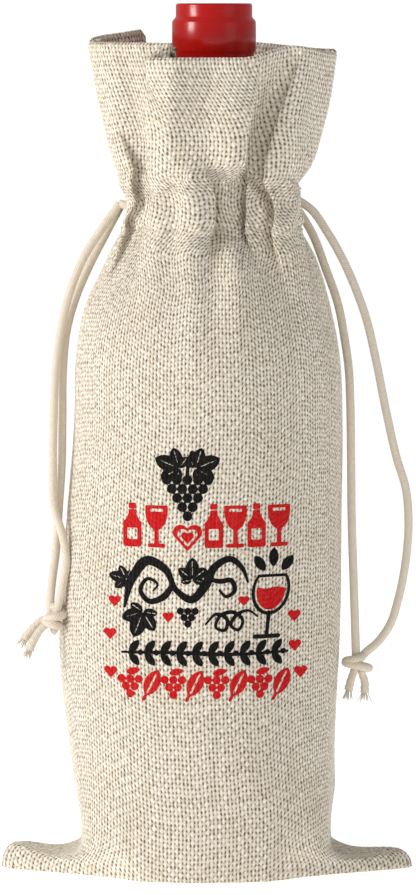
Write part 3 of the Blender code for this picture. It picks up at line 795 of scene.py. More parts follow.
def foldedSection(side, height, columns, inset=0.0, foldShare=1.0):
    # one panel's cloth at a height, left seam to right seam, at even steps along the cloth
    mid, half, depth = section(height)
    opening = bagShape["exitHalfWidth"] * hill(height, bagShape["exitHeight"], bagShape["exitHalfHeight"])
    standing = float(smoothStep(height / bagShape["squareBelow"]))
    roundness = bagShape["footRoundness"] + (bagShape["roundness"] - bagShape["footRoundness"]) * standing
    start = math.asin(min(1.0, (max(opening, bagShape["seamGap"]) / depth) ** (1 / roundness)))
    turns = np.linspace(start, math.pi - start, 500)

    def oval(turn):
        return np.stack([mid - half * np.cos(turn), side * depth * np.sin(turn) ** roundness], axis=1)

    arcs = runAlong(oval(turns))
    steps = np.linspace(0, arcs[-1], 1000)
    along, lift = steps.copy(), np.zeros(len(steps))
    for line, width, turnBack, pleatDepth, rise in pleats[side]:
        share = foldShare * pleatShare(rise, height)
        if share < 0.001:
            continue
        x = np.interp(height, *zip(*line))
        place = np.interp(math.acos(np.clip((mid - x) / half, -1, 1)), turns, arcs)
        u = (steps - place) / width
        along -= np.where(np.abs(u) < 1, share * turnBack * width * np.sin(math.pi * u), 0.0)
        beyond = np.maximum(np.abs(u) - 1, 0) * width / 0.0062
        lift += share * pleatDepth * np.sin(np.clip(u, -1, 1) * math.pi / 2) / np.cosh(beyond)
    turn = np.interp(along, arcs, turns)
    base = oval(turn)
    outward = unit(np.stack([-np.cos(turn) * depth, side * np.sin(turn) * half], axis=1))
    nearSeam = np.minimum(steps, arcs[-1] - steps)
    free = smoothStep(nearSeam / 0.006)
    folded = base + outward * (lift * free)[:, None]
    loose = foldShare * (channelSwell(side, base[:, 0], height) + puckered(side, base[:, 0], height))
    lift = (lift + loose + slackWaves(side, base[:, 0], height)) * free - 0.0005 * np.exp(-nearSeam / 0.0012)
    curve = base + outward * lift[:, None]
    if inset:
        tangent = unit(np.gradient(curve, axis=0))
        curve = curve + side * inset * np.stack([tangent[:, 1], -tangent[:, 0]], axis=1)
        curve[:, 1] = side * np.maximum(side * curve[:, 1], bagShape["seamGap"])
    # threads are shared out along the folded cloth, so that small swells don't bend them sideways
    run = runAlong(folded)
    run = 0.85 * run / run[-1] + 0.15 * steps / steps[-1]
    marks = np.linspace(0, 1, columns)
    return np.stack([np.interp(marks, run, curve[:, axis]) for axis in (0, 1)], axis=1)


def cornerHalfWidth(reach):
    nose = 2 * bagShape["cornerNose"] * reach * np.exp(-reach / 0.015)
    return np.sqrt((bagShape["cornerSlope"] * reach) ** 2 + np.maximum(0.0, nose))


def rimHeights(side, x):
    # height of the rim for each column, by where its cloth stands
    folded = int(np.argmin(np.diff(x)[: len(x) // 2]))
    share = smoothStep((np.arange(len(x)) - folded + 5) / 10)
    flap = np.interp(np.arange(len(x)), (0, folded), rimLeftFlap[side])
    return flap * (1 - share) + arched(x, rimLine[side]) * share


def rimLean(heights):
    # how much of the rim's rise and fall each height takes
    low = bagShape["collarFrom"]
    return rising(heights, low, bagShape["rimHeight"] - low)


def panelPlaces(side, columns, rows):
    rimHeight = bagShape["rimHeight"]
    heights = np.concatenate([[0.0018], np.arange(0.004, rimHeight, 0.0012), [rimHeight]])
    wall = np.array([foldedSection(side, h, columns) for h in heights])
    rim = rimHeights(side, wall[-1, :, 0])
    flat = np.linspace(0, 2 * bagShape["cornerReach"], columns)
    fromSeam = np.minimum(flat, flat[::-1])
    half = np.where(flat < flat[-1] / 2, -1, 1)
    corner = np.stack([half * (bagShape["cornerReach"] - fromSeam), side * cornerHalfWidth(fromSeam)], axis=1)
    onCorner = smoothStep((bagShape["cornerReachIn"] - fromSeam) / 0.012)[:, None]
    edge = wall[0] * (1 - onCorner) + corner * onCorner
    low = int(np.searchsorted(heights, bagShape["wallFrom"]))
    foot = wall[int(np.searchsorted(heights, 0.008))]
    rise = np.where(half < 0, bagShape["cornerRise"][-1], bagShape["cornerRise"][1])
    plain = bagShape["plainFootRise"]
    top = plain + (rise * bagShape["earShare"] - plain) * np.exp(-((fromSeam / 0.017) ** 2))
    eared = smoothStep(1 - fromSeam / bagShape["earWidth"])
    upper = heights[low:]
    lean = rimLean(upper)
    startY = side * bagShape["seamGap"]
    under = np.linspace(0, 1, 24)[:, None]
    shares = np.array(bagShape["earShares"])[:, None]
    upright = np.array(bagShape["uprightClimb"])
    places = np.zeros((rows, columns, 3))
    for i in range(columns):
        bottom = np.concatenate([
            edge[i, 0] + under * 0, startY + under * (edge[i, 1] - startY), 0.0005 + under * 0
        ], axis=1)
        bulge = np.array([[edge[i, 0], edge[i, 1], 0.0010]])
        across = edge[i] + shares * (foot[i] - edge[i])
        across[-1] = wall[low, i]
        flatTop = top[i] * np.array(bagShape["earClimb"])
        flatTop[0], flatTop[-1] = upright[0], top[i] + 0.0055
        climb = np.append(flatTop * eared[i] + upright * (1 - eared[i]), heights[low])
        control = np.concatenate([across, climb[:, None]], axis=1)
        marks = runAlong(control)
        ear = np.array([smoothCurve(w, marks, control) for w in np.linspace(0, marks[-1], 34)])
        tall = upper + lean * (rim[i] - rimHeight)
        stand = np.concatenate([wall[low:, i], tall[:, None]], axis=1)
        inward = unit(np.array([wall[-1, :, 0].mean(), 0.0]) - wall[-1, i]) * bagShape["rimRoll"]
        over = [
            (*(stand[-1, :2] + inward * (1 - math.cos(a))), stand[-1, 2] + bagShape["rimRoll"] * math.sin(a))
            for a in np.radians([50, 90, 130, 180])
        ]
        over.append((*(stand[-1, :2] + inward * 2), stand[-1, 2] - 0.0025))
        path = np.concatenate([bottom, bulge, ear[:-1], stand, np.array(over)])
        run = runAlong(path)
        run += np.arange(len(run)) * 1e-9
        marks = np.linspace(0, run[-1], rows)
        for axis in range(3):
            places[:, i, axis] = np.interp(marks, run, path[:, axis])
    return places


def surfaceNormals(places, side):
    across = np.gradient(places, axis=1)
    up = np.gradient(places, axis=0)
    return -side * unit(np.cross(across, up))


def withThreads(places, side, relief, seed):
    # each crossing stands proud and each gap between crossings sinks; threads differ in thickness
    rows, columns = places.shape[:2]
    rng = np.random.default_rng(seed)
    j, i = np.meshgrid(np.arange(rows), np.arange(columns), indexing="ij")
    warp = 1 + 0.22 * rng.standard_normal(columns // 2 + 2)[i // 2]
    weft = 1 + 0.22 * rng.standard_normal(rows // 2 + 2)[j // 2]
    height = np.where((i % 2 == 1) & (j % 2 == 1), 1.0, np.where((i % 2 == 0) & (j % 2 == 0), -1.1, 0.0))
    height = height * (warp + weft) / 2 + 0.18 * rng.standard_normal((rows, columns))
    standing = smoothStep((places[:, :, 2] - 0.0012) / 0.002)
    normal = surfaceNormals(places, side)
    return places + normal * (relief * height * (0.15 + 0.85 * standing))[:, :, None]


def threadPlaces(rows, columns, firstWarp=0, firstWeft=0):
    # which threads cross at each point, two points to a thread
    weft, warp = np.meshgrid(np.arange(rows), np.arange(columns), indexing="ij")
    return np.stack([firstWarp + warp / 2.0, firstWeft + weft / 2.0], axis=2)


def withSeamTurns(places, side):
    # the cut edges turn inwards behind each side seam
    normal = surfaceNormals(places, side)
    sides = []
    for column in (0, -1):
        inward = -normal[:, column] * (1, 0, 1)
        atRim = places[:, column, 2] > bagShape["rimHeight"] - 0.010
        inward[atRim] = (-np.sign(places[0, column, 0]), 0, 0)
        turned = []
        for depth in bagShape["seamTurns"]:
            place = places[:, column] + unit(inward) * depth
            place[:, 1] = places[:, column, 1]
            place[:, 2] = np.maximum(place[:, 2], 0.0004)
            turned.append(place)
        sides.append(turned)
    left, right = sides
    return np.concatenate([
        np.stack([left[1], left[0]], axis=1), places, np.stack([right[0], right[1]], axis=1)
    ], axis=1)


def addPanel(side, name, *nodes):
    columns = 2 * bagShape["warpThreads"] + 1
    rows = 2 * bagShape["weftThreads"] + 1
    places = panelPlaces(side, columns, rows)
    places = withThreads(places, side, bagShape["threadRelief"], 5 + side)
    places = withSeamTurns(places, side)
    places[:, :, 2] = np.maximum(places[:, :, 2], 0.0002)
    threads = threadPlaces(rows, places.shape[1], -1)
    if side > 0:
        places, threads = places[:, ::-1], threads[:, ::-1]
    panel = newGrid(name, places, threads)
    finishPiece(panel, bagCloth, "burlap", "bag", *nodes)
    return panel, places, threads


frontPanel, frontPlaces, frontThreads = addPanel(
    -1, "frontPanelCloth", "front_panel_body", "front_panel_gather", "front_panel_collar",
    "front_base_fold", "left_corner_fold",
)
backPanel, backPlaces, backThreads = addPanel(
    1, "backPanelCloth", "back_panel_body", "back_panel_gather", "back_panel_collar",
    "back_base_fold", "right_corner_fold",
)
print("panels ready:", len(frontPanel.data.polygons), "faces each")


# the turned-in hem, its stitching, and the cords in the channel

hem = {
    "foot": 0.2215,
    "layer": 0.0020,            # how far it lies inside the outer cloth
    "channelRoom": 0.0070,      # extra room round the cords
    "freeBelow": 0.262, "joinOver": 0.026,
    "clear": 0.0013, "clearWithin": 0.0010,     # kept between it and the outer cloth's folds
    "rows": 84,
    "stitchColumns": 4, "stitchGap": 1, "threadRadius": 0.00026,
    "loopHeight": {"left": 0.2328, "right": 0.2368},
    "loopInset": 0.0062, "loopGap": 0.30,       # the gap is an angle, at the exit
}


def hemJoins(height):
    # 0 where the hem hangs free round the cords, 1 where it lies against the outer cloth
    return float(rising(height, hem["freeBelow"], hem["joinOver"]))


def hemInset(height):
    return hem["layer"] + hem["channelRoom"] * (1 - hemJoins(height))


def hemFolds(height):
    # it hangs nearly smooth round the cords and takes the outer cloth's folds near the rim
    return 0.2 + 0.8 * hemJoins(height)


def keptInside(side, height, line):
    # the hem never comes out through a fold of the outer cloth
    outer = foldedSection(side, height, len(line))
    near = np.abs(outer[None, :, 0] - line[:, None, 0]) < hem["clearWithin"]
    limit = np.where(near, side * outer[None, :, 1], 1.0).min(axis=1) - hem["clear"]
    line[:, 1] = side * np.minimum(side * line[:, 1], limit)
    return line


def addHem(side, name, node):
    columns, rows = 2 * bagShape["warpThreads"] + 1, hem["rows"]
    rim = rimHeights(side, foldedSection(side, bagShape["rimHeight"], columns)[:, 0])
    heights = np.linspace(hem["foot"], bagShape["rimHeight"], rows)
    wall = np.array([
        keptInside(side, h, foldedSection(side, h, columns, hemInset(h), hemFolds(h))) for h in heights
    ])
    z = heights[:, None] + rimLean(heights)[:, None] * (rim - bagShape["rimHeight"])[None, :] - 0.0004
    places = np.concatenate([wall, z[:, :, None]], axis=2)
    places = withThreads(places, -side, bagShape["threadRelief"] * 0.8, 40 + side)
    places[:, :, 1] = side * np.maximum(side * places[:, :, 1], bagShape["seamGap"])
    threads = threadPlaces(rows, columns, 0, 60)
    if side < 0:
        places, threads = places[:, ::-1], threads[:, ::-1]
    piece = newGrid(name, places, threads)
    finishPiece(piece, bagCloth, "burlap", "bag", node)
    return piece


def addStitchRow(name, node, heightAt):
    # short stitches laid over the cloth, dipping into it at both ends
    stitches = []
    for side, places in ((-1, frontPlaces), (1, backPlaces[:, ::-1])):
        smooth = places[:, 2:-2]
        columns = np.arange(smooth.shape[1])
        away = np.abs(smooth[:, :, 2] - heightAt(side, smooth[:, :, 0])) + 0.05 * (smooth[:, :, 2] < 0.2)
        rowOf = away.argmin(axis=0)
        spots = smooth[rowOf, columns]
        lift = surfaceNormals(smooth, side)[rowOf, columns]
        run = np.arange(hem["stitchColumns"] + 1)
        rise = np.sin(run / run[-1] * math.pi)[:, None] * 0.00035 - 0.00012
        for i in range(2, len(columns) - len(run) - 1, len(run) + hem["stitchGap"]):
            line = spots[i + run] + lift[i + run] * rise
            if np.linalg.norm(line[-1] - line[0]) < 0.005:
                stitches.append(tubeArrays(line, hem["threadRadius"], 6))
    piece = meshPiece(name, *withTubes([], [], [], stitches))
    finishPiece(piece, cordCotton, "sewing_thread", "bag", node)


def addLoop(side, sign):
    # round the neck inside the channel, and out to where the free strands begin
    height = hem["loopHeight"][side]
    mid, half, depth = section(height)
    across, back = half - hem["loopInset"], depth - hem["loopInset"]
    angles = np.linspace(hem["loopGap"], 2 * math.pi - hem["loopGap"], 40)
    ring = [(mid + sign * across * math.cos(a), -back * math.sin(a), height) for a in angles]
    strands = drawstrings[side]["strands"]
    loop, _ = addCord(f"{side}ChannelCord", [strands["outer"][0], *ring, strands["inner"][0]], 0.0016)
    finishPiece(loop, cordCotton, "cotton_cord", "bag", f"{side}_drawstring_loop")


frontHem = addHem(-1, "frontHemCloth", "front_turned_in_hem")
backHem = addHem(1, "backHemCloth", "back_turned_in_hem")
addStitchRow("upperChannelStitches", "upper_channel_stitching", lambda side, x: arched(x, stitchArches[side]))
addStitchRow("lowerChannelStitches", "lower_channel_stitching", lambda side, x: bagShape["lowerStitch"])
addLoop("left", -1)
addLoop("right", 1)
print("hem and channel ready")


# bottle

bottleShape = {
    "x": 0.0025, "foot": 0.0030, "radius": 0.0370, "top": 0.3040,
    "neckLow": 0.0150, "neckHigh": 0.01335, "ring": 0.01405, "lip": 0.01275,
    "bore": 0.0096, "foil": 0.00065, "segments": 96,
    "wineLevel": 0.2440, "corkFoot": 0.2560,
    "punt": ((0.0004, 0.0200), (0.0060, 0.0194), (0.0110, 0.0178), (0.0170, 0.0135),
             (0.0225, 0.0085), (0.0275, 0.0042), (0.0305, 0.0015), (0.0325, 0.0)),     # radius, rise
}


def arc(centreR, centreZ, radiusR, radiusZ, start, end, count):
    angles = np.radians(np.linspace(start, end, count))
    return [(centreR + radiusR * math.cos(a), centreZ + radiusZ * math.sin(a)) for a in angles]


def turnedUp(name, profile, segments=None):
    # a ring extruded and scaled station by station along a profile of (radius, height)
    axis = bottleShape["x"]
    deselectAll()
    bpy.ops.mesh.primitive_circle_add(
        vertices=segments or bottleShape["segments"], radius=profile[0][0], location=(axis, 0, profile[0][1])
    )
    piece = bpy.context.active_object
    piece.name = name
    bpy.ops.object.mode_set(mode="EDIT")
    bpy.ops.mesh.select_all(action="SELECT")
    for (radius, height), (nextRadius, nextHeight) in zip(profile, profile[1:]):
        bpy.ops.mesh.extrude_region_move(TRANSFORM_OT_translate={"value": (0, 0, nextHeight - height)})
        share = nextRadius / radius
        bpy.ops.transform.resize(value=(share, share, 1), center_override=(axis, 0, nextHeight))
    bpy.ops.mesh.select_all(action="SELECT")
    bpy.ops.mesh.fill_holes(sides=0)
    bpy.ops.mesh.select_all(action="SELECT")
    bpy.ops.mesh.normals_make_consistent(inside=False)
    bpy.ops.object.mode_set(mode="OBJECT")
    bpy.ops.object.transform_apply(location=True, rotation=True, scale=True)
    bpy.ops.object.shade_smooth_by_angle(angle=math.radians(38))
    return piece


def bottleOutside():
    foot, radius = bottleShape["foot"], bottleShape["radius"]
    line = [(reach, foot + rise) for reach, rise in bottleShape["punt"]]
    line += arc(radius - 0.0045, foot + 0.0045, 0.0045, 0.0045, -72, 0, 8)
    line += arc(radius - 0.0230, 0.1830, 0.0230, 0.0260, 0, 55, 16)
    line += [(0.0250, 0.2075), (0.0226, 0.2120), (0.0204, 0.2155), (0.0186, 0.2190), (0.0172, 0.2228)]
    line += [(0.0162, 0.2265), (0.0155, 0.2300), (bottleShape["neckLow"], 0.2340)]
    ring, lip = bottleShape["ring"], bottleShape["lip"]
    line += [(bottleShape["neckHigh"], 0.2868), (0.01350, 0.2878), (ring, 0.2885), (ring, 0.2984)]
    line += [(0.01370, 0.2992), (lip, 0.2998)]
    line += arc(lip - 0.0012, bottleShape["top"] - 0.0012, 0.0012, 0.0012, 0, 90, 5)
    return line


def bottleInside():
    foot, radius, bore = bottleShape["foot"], bottleShape["radius"], bottleShape["bore"]
    line = [(bore + 0.0004, bottleShape["top"]), (bore, bottleShape["top"] - 0.0004), (bore, 0.2500)]
    line += [(0.0104, 0.2400), (0.0112, 0.2300), (0.0140, 0.2180), (0.0170, 0.2125), (0.0205, 0.2080)]
    line += arc(radius - 0.0230, 0.1820, 0.0203, 0.0225, 50, 0, 10)
    line += [(0.0343, foot + 0.0120), (0.0320, foot + 0.0072), (0.0240, foot + 0.0140)]
    line += [(0.0120, foot + 0.0220), (0.0004, foot + 0.0240)]
    return line


def glassFinish():
    finish = startFinish("darkGreenGlass", {"Roughness": 0.045, "IOR": 1.52, "Coat Weight": 0.4})
    place = objectPlace(finish)
    cloudy = noiseAt(stretched(place, 1, 1, 0.35), 60.0, 3.0)
    # paler above the wine
    tone = tinted(rgb(14, 26, 12), split(place)[2], 0.10, 0.25, 1.0, (34, 62, 26), "MIX")
    tone = tinted(tone, cloudy, 0.35, 0.65, 0.4, (24, 44, 20), "MIX")
    return painted(finish, tone, cloudy, 0.10, 0.0004)


def wineFinish():
    finish = startFinish("redWine", {"Roughness": 0.06})
    depth = noiseAt(objectPlace(finish), 40.0)
    return painted(finish, tinted(rgb(58, 6, 16), depth, 0.3, 0.7, 1.0, (86, 12, 26), "MIX"))


def corkFinish():
    finish = startFinish("corkBark", {"Roughness": 0.92})
    place = objectPlace(finish)
    grain = noiseAt(stretched(place, 1, 1, 0.4), 900.0, 4.0)
    pores = wire("ShaderNodeTexVoronoi", {"Vector": place, "Scale": 620.0}).outputs["Distance"]
    pits = remap(pores, 0.12, 0.30, 1.0, 0.0)
    tone = tinted(rgb(196, 156, 108), grain, 0.35, 0.65, 1.0, (158, 116, 72), "MIX")
    return painted(finish, blend(pits, tone, rgb(92, 60, 34)), calc("SUBTRACT", grain, pits), 0.5, 0.0003)


def foilFinish():
    # satin red foil: faint drawn streaks round the neck, small dents, darker where it is rubbed
    coat = {"Coat Weight": 0.06, "Coat Roughness": 0.10, "Specular IOR Level": 0.32}
    finish = startFinish("redFoil", coat)
    place = objectPlace(finish)
    drawn = noiseAt(stretched(place, 1, 1, 9.0), 160.0, 4.0)
    tone = tinted(rgb(184, 14, 6), drawn, 0.3, 0.7, 1.0, (172, 9, 5), "MIX")
    tone = tinted(tone, noiseAt(place, 420.0, 5.0, 0.65), 0.60, 0.72, 0.5, (116, 10, 12), "MIX")
    shader = finish.node_tree.nodes["Principled BSDF"]
    finish.node_tree.links.new(remap(drawn, 0.3, 0.7, 0.21, 0.27), shader.inputs["Roughness"])
    return painted(finish, tone, plus(times(drawn, 0.15), noiseAt(place, 190.0)), 0.06, 0.0004)


def paperFinish():
    # cream paper with a plain double border
    finish = startFinish("labelPaper", {"Roughness": 0.72})
    uv = ownUv(finish, "sheet")
    u, v, _ = split(uv)
    edge = calc("MINIMUM", calc("PINGPONG", u, 0.5), calc("PINGPONG", v, 0.5))
    border = calc("MAXIMUM", calc("COMPARE", edge, 0.055, 0.010), calc("COMPARE", edge, 0.085, 0.004))
    fibre = noiseAt(uv, 70.0, 4.0)
    tone = tinted(rgb(236, 228, 206), fibre, 0.35, 0.65, 1.0, (226, 216, 192), "MIX")
    return painted(finish, blend(border, tone, rgb(120, 36, 32)), fibre, 0.3, 0.0002)


def addWineAndCork():
    level = bottleShape["wineLevel"]
    line = [(0.0004, level), (bottleShape["bore"] - 0.0004, level)]
    for radius, height in bottleInside():
        if height < level:     # a little clear of the glass, and over its punt
            onPunt = radius < 0.0335 and height < 0.05
            line.append((max(0.0004, radius - 0.0007), height + (0.0008 if onPunt else 0)))
    wine = turnedUp("wineFill", line, 64)
    finishPiece(wine, wineFinish(), "red_wine", "bottle", "wine")
    radius, low, high = bottleShape["bore"] - 0.0003, bottleShape["corkFoot"], 0.3036
    body = [(0.0004, low), (radius - 0.0007, low), (radius, low + 0.0008)]
    body += [(radius, z) for z in np.linspace(low + 0.008, high - 0.004, 5)]
    body += [(radius, high - 0.0008), (radius - 0.0007, high), (0.0004, high)]
    stopper = turnedUp("corkStopper", body, 48)
    finishPiece(stopper, corkFinish(), "cork", "bottle", "cork")


def addCapsule(foil):
    under = [bottleShape[place] for place in ("neckLow", "neckHigh", "ring", "lip")]
    low, high, ring, lip = (radius + bottleShape["foil"] for radius in under)
    skirt = np.linspace(0.2346, 0.2866, 26)
    creases = 0.00008 * np.sin(skirt * 2600)
    outer = list(zip(low - (low - high) * (skirt - skirt[0]) / 0.052 + creases, skirt))
    outer += [(high + 0.0001, 0.2874), (ring - 0.0003, 0.2881), (ring, 0.2887)]
    outer += [(ring + 0.00004, 0.2935), (ring, 0.2983), (ring - 0.0003, 0.2991)]
    outer += [(lip + 0.0003, 0.2998), (lip, 0.3004)]
    outer += arc(lip - 0.0009, 0.3041, 0.0009, 0.0009, 0, 78, 6)
    inner = [(radius - 0.00035, height) for radius, height in reversed(outer)]
    sleeve = turnedUp("capsuleFoil", outer + inner)
    finishPiece(sleeve, foil, "red_foil", "bottle", "capsule_sleeve")
    rim = lip - 0.0010
    disc = [(0.0004, 0.30462), (0.0050, 0.30462), (0.0054, 0.30482), (0.0078, 0.30482), (0.0082, 0.30462)]
    disc += [(rim - 0.0010, 0.30470), (rim - 0.0004, 0.30495), (rim, 0.30478), (rim, 0.30448)]
    disc.append((0.0004, 0.30440))
    lid = turnedUp("capsuleTop", disc)
    finishPiece(lid, foil, "red_foil", "bottle", "capsule_top_disc")


def addLabel(name, side, node, paper):
    low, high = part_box(node)[0].z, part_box(node)[1].z
    reach = math.radians(50 if side < 0 else 38)
    radius = bottleShape["radius"] + 0.00055
    angles = np.linspace(-reach, reach, 60) * (1 if side < 0 else -1)
    heights = np.linspace(low, high, 30)
    turn, height = np.meshgrid(angles, heights)
    across = bottleShape["x"] + radius * np.sin(turn)
    places = np.stack([across, side * radius * np.cos(turn), height], axis=2)
    share = np.stack(np.meshgrid(np.linspace(0, 1, 60), np.linspace(0, 1, 30)), axis=2)
    label = newGrid(name, places, share, "sheet")
    wall = label.modifiers.new("paper", "SOLIDIFY")
    wall.thickness = 0.00022
    wall.offset = -1
    selectOnly(label)
    bpy.ops.object.modifier_apply(modifier=wall.name)
    finishPiece(label, paper, "label_paper", "bottle", node)


glassBottle = turnedUp("glassBottle", bottleOutside() + bottleInside())
finishPiece(glassBottle, glassFinish(), "green_glass", "bottle", "bottle_glass")
addWineAndCork()
addCapsule(foilFinish())
labelPaper = paperFinish()
addLabel("frontPaperLabel", -1, "front_label", labelPaper)
addLabel("backPaperLabel", 1, "back_label", labelPaper)
print("bottle ready")


# printed vine and wine motif, in millimetres across and up the front; a field is over 0 inside its shape

def union(fields):
    total = -99.0
    for field in fields:
        total = np.maximum(total, field)
    return total


def discField(x, z, cx, cz, radius):
    return radius - np.hypot(x - cx, z - cz)


def ovalField(x, z, cx, cz, halfWide, halfHigh):
    return (1 - np.sqrt(((x - cx) / halfWide) ** 2 + ((z - cz) / halfHigh) ** 2)) * halfWide


def barField(x, z, a, b, widthA, widthB):
    # a straight stroke that tapers from one end to the other
    dx, dz = b[0] - a[0], b[1] - a[1]
    t = np.clip(((x - a[0]) * dx + (z - a[1]) * dz) / (dx * dx + dz * dz), 0, 1)
    return (widthA + (widthB - widthA) * t) / 2 - np.hypot(x - a[0] - t * dx, z - a[1] - t * dz)


def strokeField(x, z, points, widths):
    # a brush line through the points, its width following widths from start to end
    route = smoothRoute([(*p, 0.0) for p in points], 0.5)[:, :2]
    spread = np.interp(np.linspace(0, 1, len(route)), np.linspace(0, 1, len(widths)), widths)
    return union(barField(x, z, *ends) for ends in zip(route, route[1:], spread, spread[1:]))


def leafField(x, z, cx, cz, length, width, degrees, vein=0.0):
    # the overlap of two circles, pointed at both ends, with a bare midrib
    angle = math.radians(degrees)
    along = (x - cx) * math.cos(angle) + (z - cz) * math.sin(angle)
    across = -(x - cx) * math.sin(angle) + (z - cz) * math.cos(angle)
    radius = (length * length + width * width) / (4 * width)
    offset = radius - width / 2
    field = radius - np.maximum(np.hypot(along, across - offset), np.hypot(along, across + offset))
    if vein:
        field = np.minimum(field, np.abs(across) - vein / 2 + 0.3 * np.maximum(along - length * 0.3, 0))
    return field


def boxField(x, z, cx, cz, halfWide, halfHigh, corner):
    dx = np.abs(x - cx) - halfWide + corner
    dz = np.abs(z - cz) - halfHigh + corner
    return corner - np.hypot(np.maximum(dx, 0), np.maximum(dz, 0)) - np.minimum(np.maximum(dx, dz), 0)


def heartField(x, z, cx, cz, size):
    foot = (cx, cz - size * 0.42)
    lobes = [(cx + way * size * 0.24, cz + size * 0.16) for way in (-1, 1)]
    return union(barField(x, z, lobe, foot, size * 0.54, size * 0.10) for lobe in lobes)


def bottleField(x, z, cx, foot, high):
    body = boxField(x, z, cx, foot + high * 0.30, high * 0.21, high * 0.30, 0.8)
    shoulder = barField(x, z, (cx, foot + high * 0.55), (cx, foot + high * 0.74), high * 0.38, high * 0.18)
    neck = boxField(x, z, cx, foot + high * 0.83, high * 0.085, high * 0.17, 0.25)
    label = boxField(x, z, cx, foot + high * 0.30, high * 0.115, high * 0.13, 0.3)
    collar = boxField(x, z, cx, foot + high * 0.86, high * 0.12, high * 0.014, 0.05)
    return np.minimum(union((body, shoulder, neck)), -union((label, collar)))


def gobletField(x, z, cx, foot, high):
    bowl = ovalField(x, z, cx, foot + high * 0.86, high * 0.26, high * 0.46)
    bowl = np.minimum(bowl, foot + high * 0.97 - z)
    rim = boxField(x, z, cx, foot + high * 0.86, high * 0.15, high * 0.035, 0.2)
    stem = barField(x, z, (cx, foot + high * 0.45), (cx, foot + high * 0.05), high * 0.095, high * 0.11)
    base = boxField(x, z, cx, foot + high * 0.045, high * 0.20, high * 0.045, 0.45)
    return union((np.minimum(bowl, -rim), stem, base))


def grapesField(x, z, cx, top, radius, rows):
    # a bunch that narrows downwards, one grape fewer in each row
    across, down = radius * 2.12, radius * 1.84
    return union(
        discField(x, z, cx + (k - (rows - row - 1) / 2) * across, top - row * down, radius)
        for row in range(rows) for k in range(rows - row)
    )


def vineLeafField(x, z, cx, cz, size, degrees):
    lobes = []
    for turn, share in ((0, 1.0), (52, 0.82), (-52, 0.82), (104, 0.55), (-104, 0.55)):
        angle, reach = math.radians(degrees + turn), size * share / 2
        tip = cx + reach * math.cos(angle), cz + reach * math.sin(angle)
        lobes.append(leafField(x, z, *tip, size * share, size * 0.60 * share, degrees + turn, 0.35))
    return union(lobes)


motif = {
    # points of each brush line, then its widths
    "stems": (
        (((-28.6, 96.5), (-25.8, 106.5), (-20.5, 112.9), (-14.4, 110.0), (-10.4, 102.6), (-5.4, 99.6),
          (-0.6, 104.5), (3.0, 111.2), (8.2, 113.6), (12.2, 110.4), (14.2, 105.5)),
         (0.8, 2.6, 3.5, 2.9, 1.8, 2.6, 3.3, 2.5, 2.0, 0.8)),
        (((-11.6, 105.0), (-15.0, 100.4), (-20.0, 98.8), (-23.0, 102.6), (-20.4, 106.6), (-17.0, 104.6),
          (-18.6, 102.4)), (1.6, 2.4, 2.0, 1.7, 1.4, 1.0, 0.6)),
        (((0.4, 106.8), (4.6, 105.9), (8.4, 106.2), (9.6, 102.6), (6.6, 100.6), (4.4, 102.8)),
         (1.4, 1.8, 1.7, 1.3, 0.8)),
        (((-0.5, 91.0), (3.4, 94.6), (7.0, 92.6), (6.2, 88.9), (3.2, 89.8), (4.6, 94.0), (9.6, 95.0),
          (12.4, 92.2), (10.8, 88.9), (8.4, 90.4), (10.6, 94.4), (14.4, 95.6), (17.6, 93.4)),
         (0.6, 1.4, 1.0, 1.4, 1.0, 1.3, 0.6)),
        (((-6.7, 140.5), (-6.6, 145.0), (-5.0, 150.2)), (1.4, 1.2, 1.9)),
        (((-29.4, 80.8), (-10.0, 81.1), (8.0, 80.5), (28.0, 80.8)), (0.8, 1.4, 0.8)),
    ),
    # x, z, size and turn of each leaf; x, z, grape radius and rows of each bunch
    "vineLeaves": ((-28.0, 106.2, 6.2, 168), (-5.0, 106.6, 7.6, 90), (-22.2, 95.0, 9.4, 250),
                   (-9.6, 145.0, 9.0, 158), (-3.8, 145.0, 9.0, 22)),
    "bunches": ((-6.7, 141.0, 1.70, 5), (-6.6, 95.6, 1.22, 3)),
    "glassLeaves": ((18.4, 111.8, 6.4, 3.4, 124), (23.2, 113.8, 6.8, 3.4, 88), (28.0, 111.6, 6.4, 3.4, 52)),
    "hearts": ((-32.0, 98.4, 4.2), (-33.6, 87.0, 4.4), (-33.4, 73.6, 4.6), (-13.4, 93.4, 3.8),
               (12.8, 99.0, 3.8), (30.4, 93.0, 4.4), (30.6, 82.6, 4.4), (32.6, 73.2, 4.6)),
    "bottles": (-25.8, 2.4, 17.2),
    "goblets": (-17.4, 9.9, 25.0),
    "rowFoot": 117.5,
    "glassCentre": (21.6, 96.0), "glassLean": 0.10,
}


def fromGlass(x, z):
    # distance from the drawn glass's leaning centre line
    centreX, centreZ = motif["glassCentre"]
    return x - centreX - (z - centreZ) * motif["glassLean"]


def glassOutline(x, z):
    x = fromGlass(x, z)
    bowl = ovalField(x, z, 0.0, 102.2, 6.7, 8.4)
    hollow = ovalField(x, z, 0.0, 102.4, 5.6, 7.4)
    walls = np.minimum(np.minimum(bowl, -hollow), 107.6 - z)
    lip = boxField(x, z, 0.0, 107.4, 5.2, 0.5, 0.45)
    stem = barField(x, z, (0.0, 94.6), (0.0, 87.0), 1.5, 1.2)
    return union((walls, lip, stem, boxField(x, z, 0.0, 86.4, 4.8, 0.75, 0.7)))


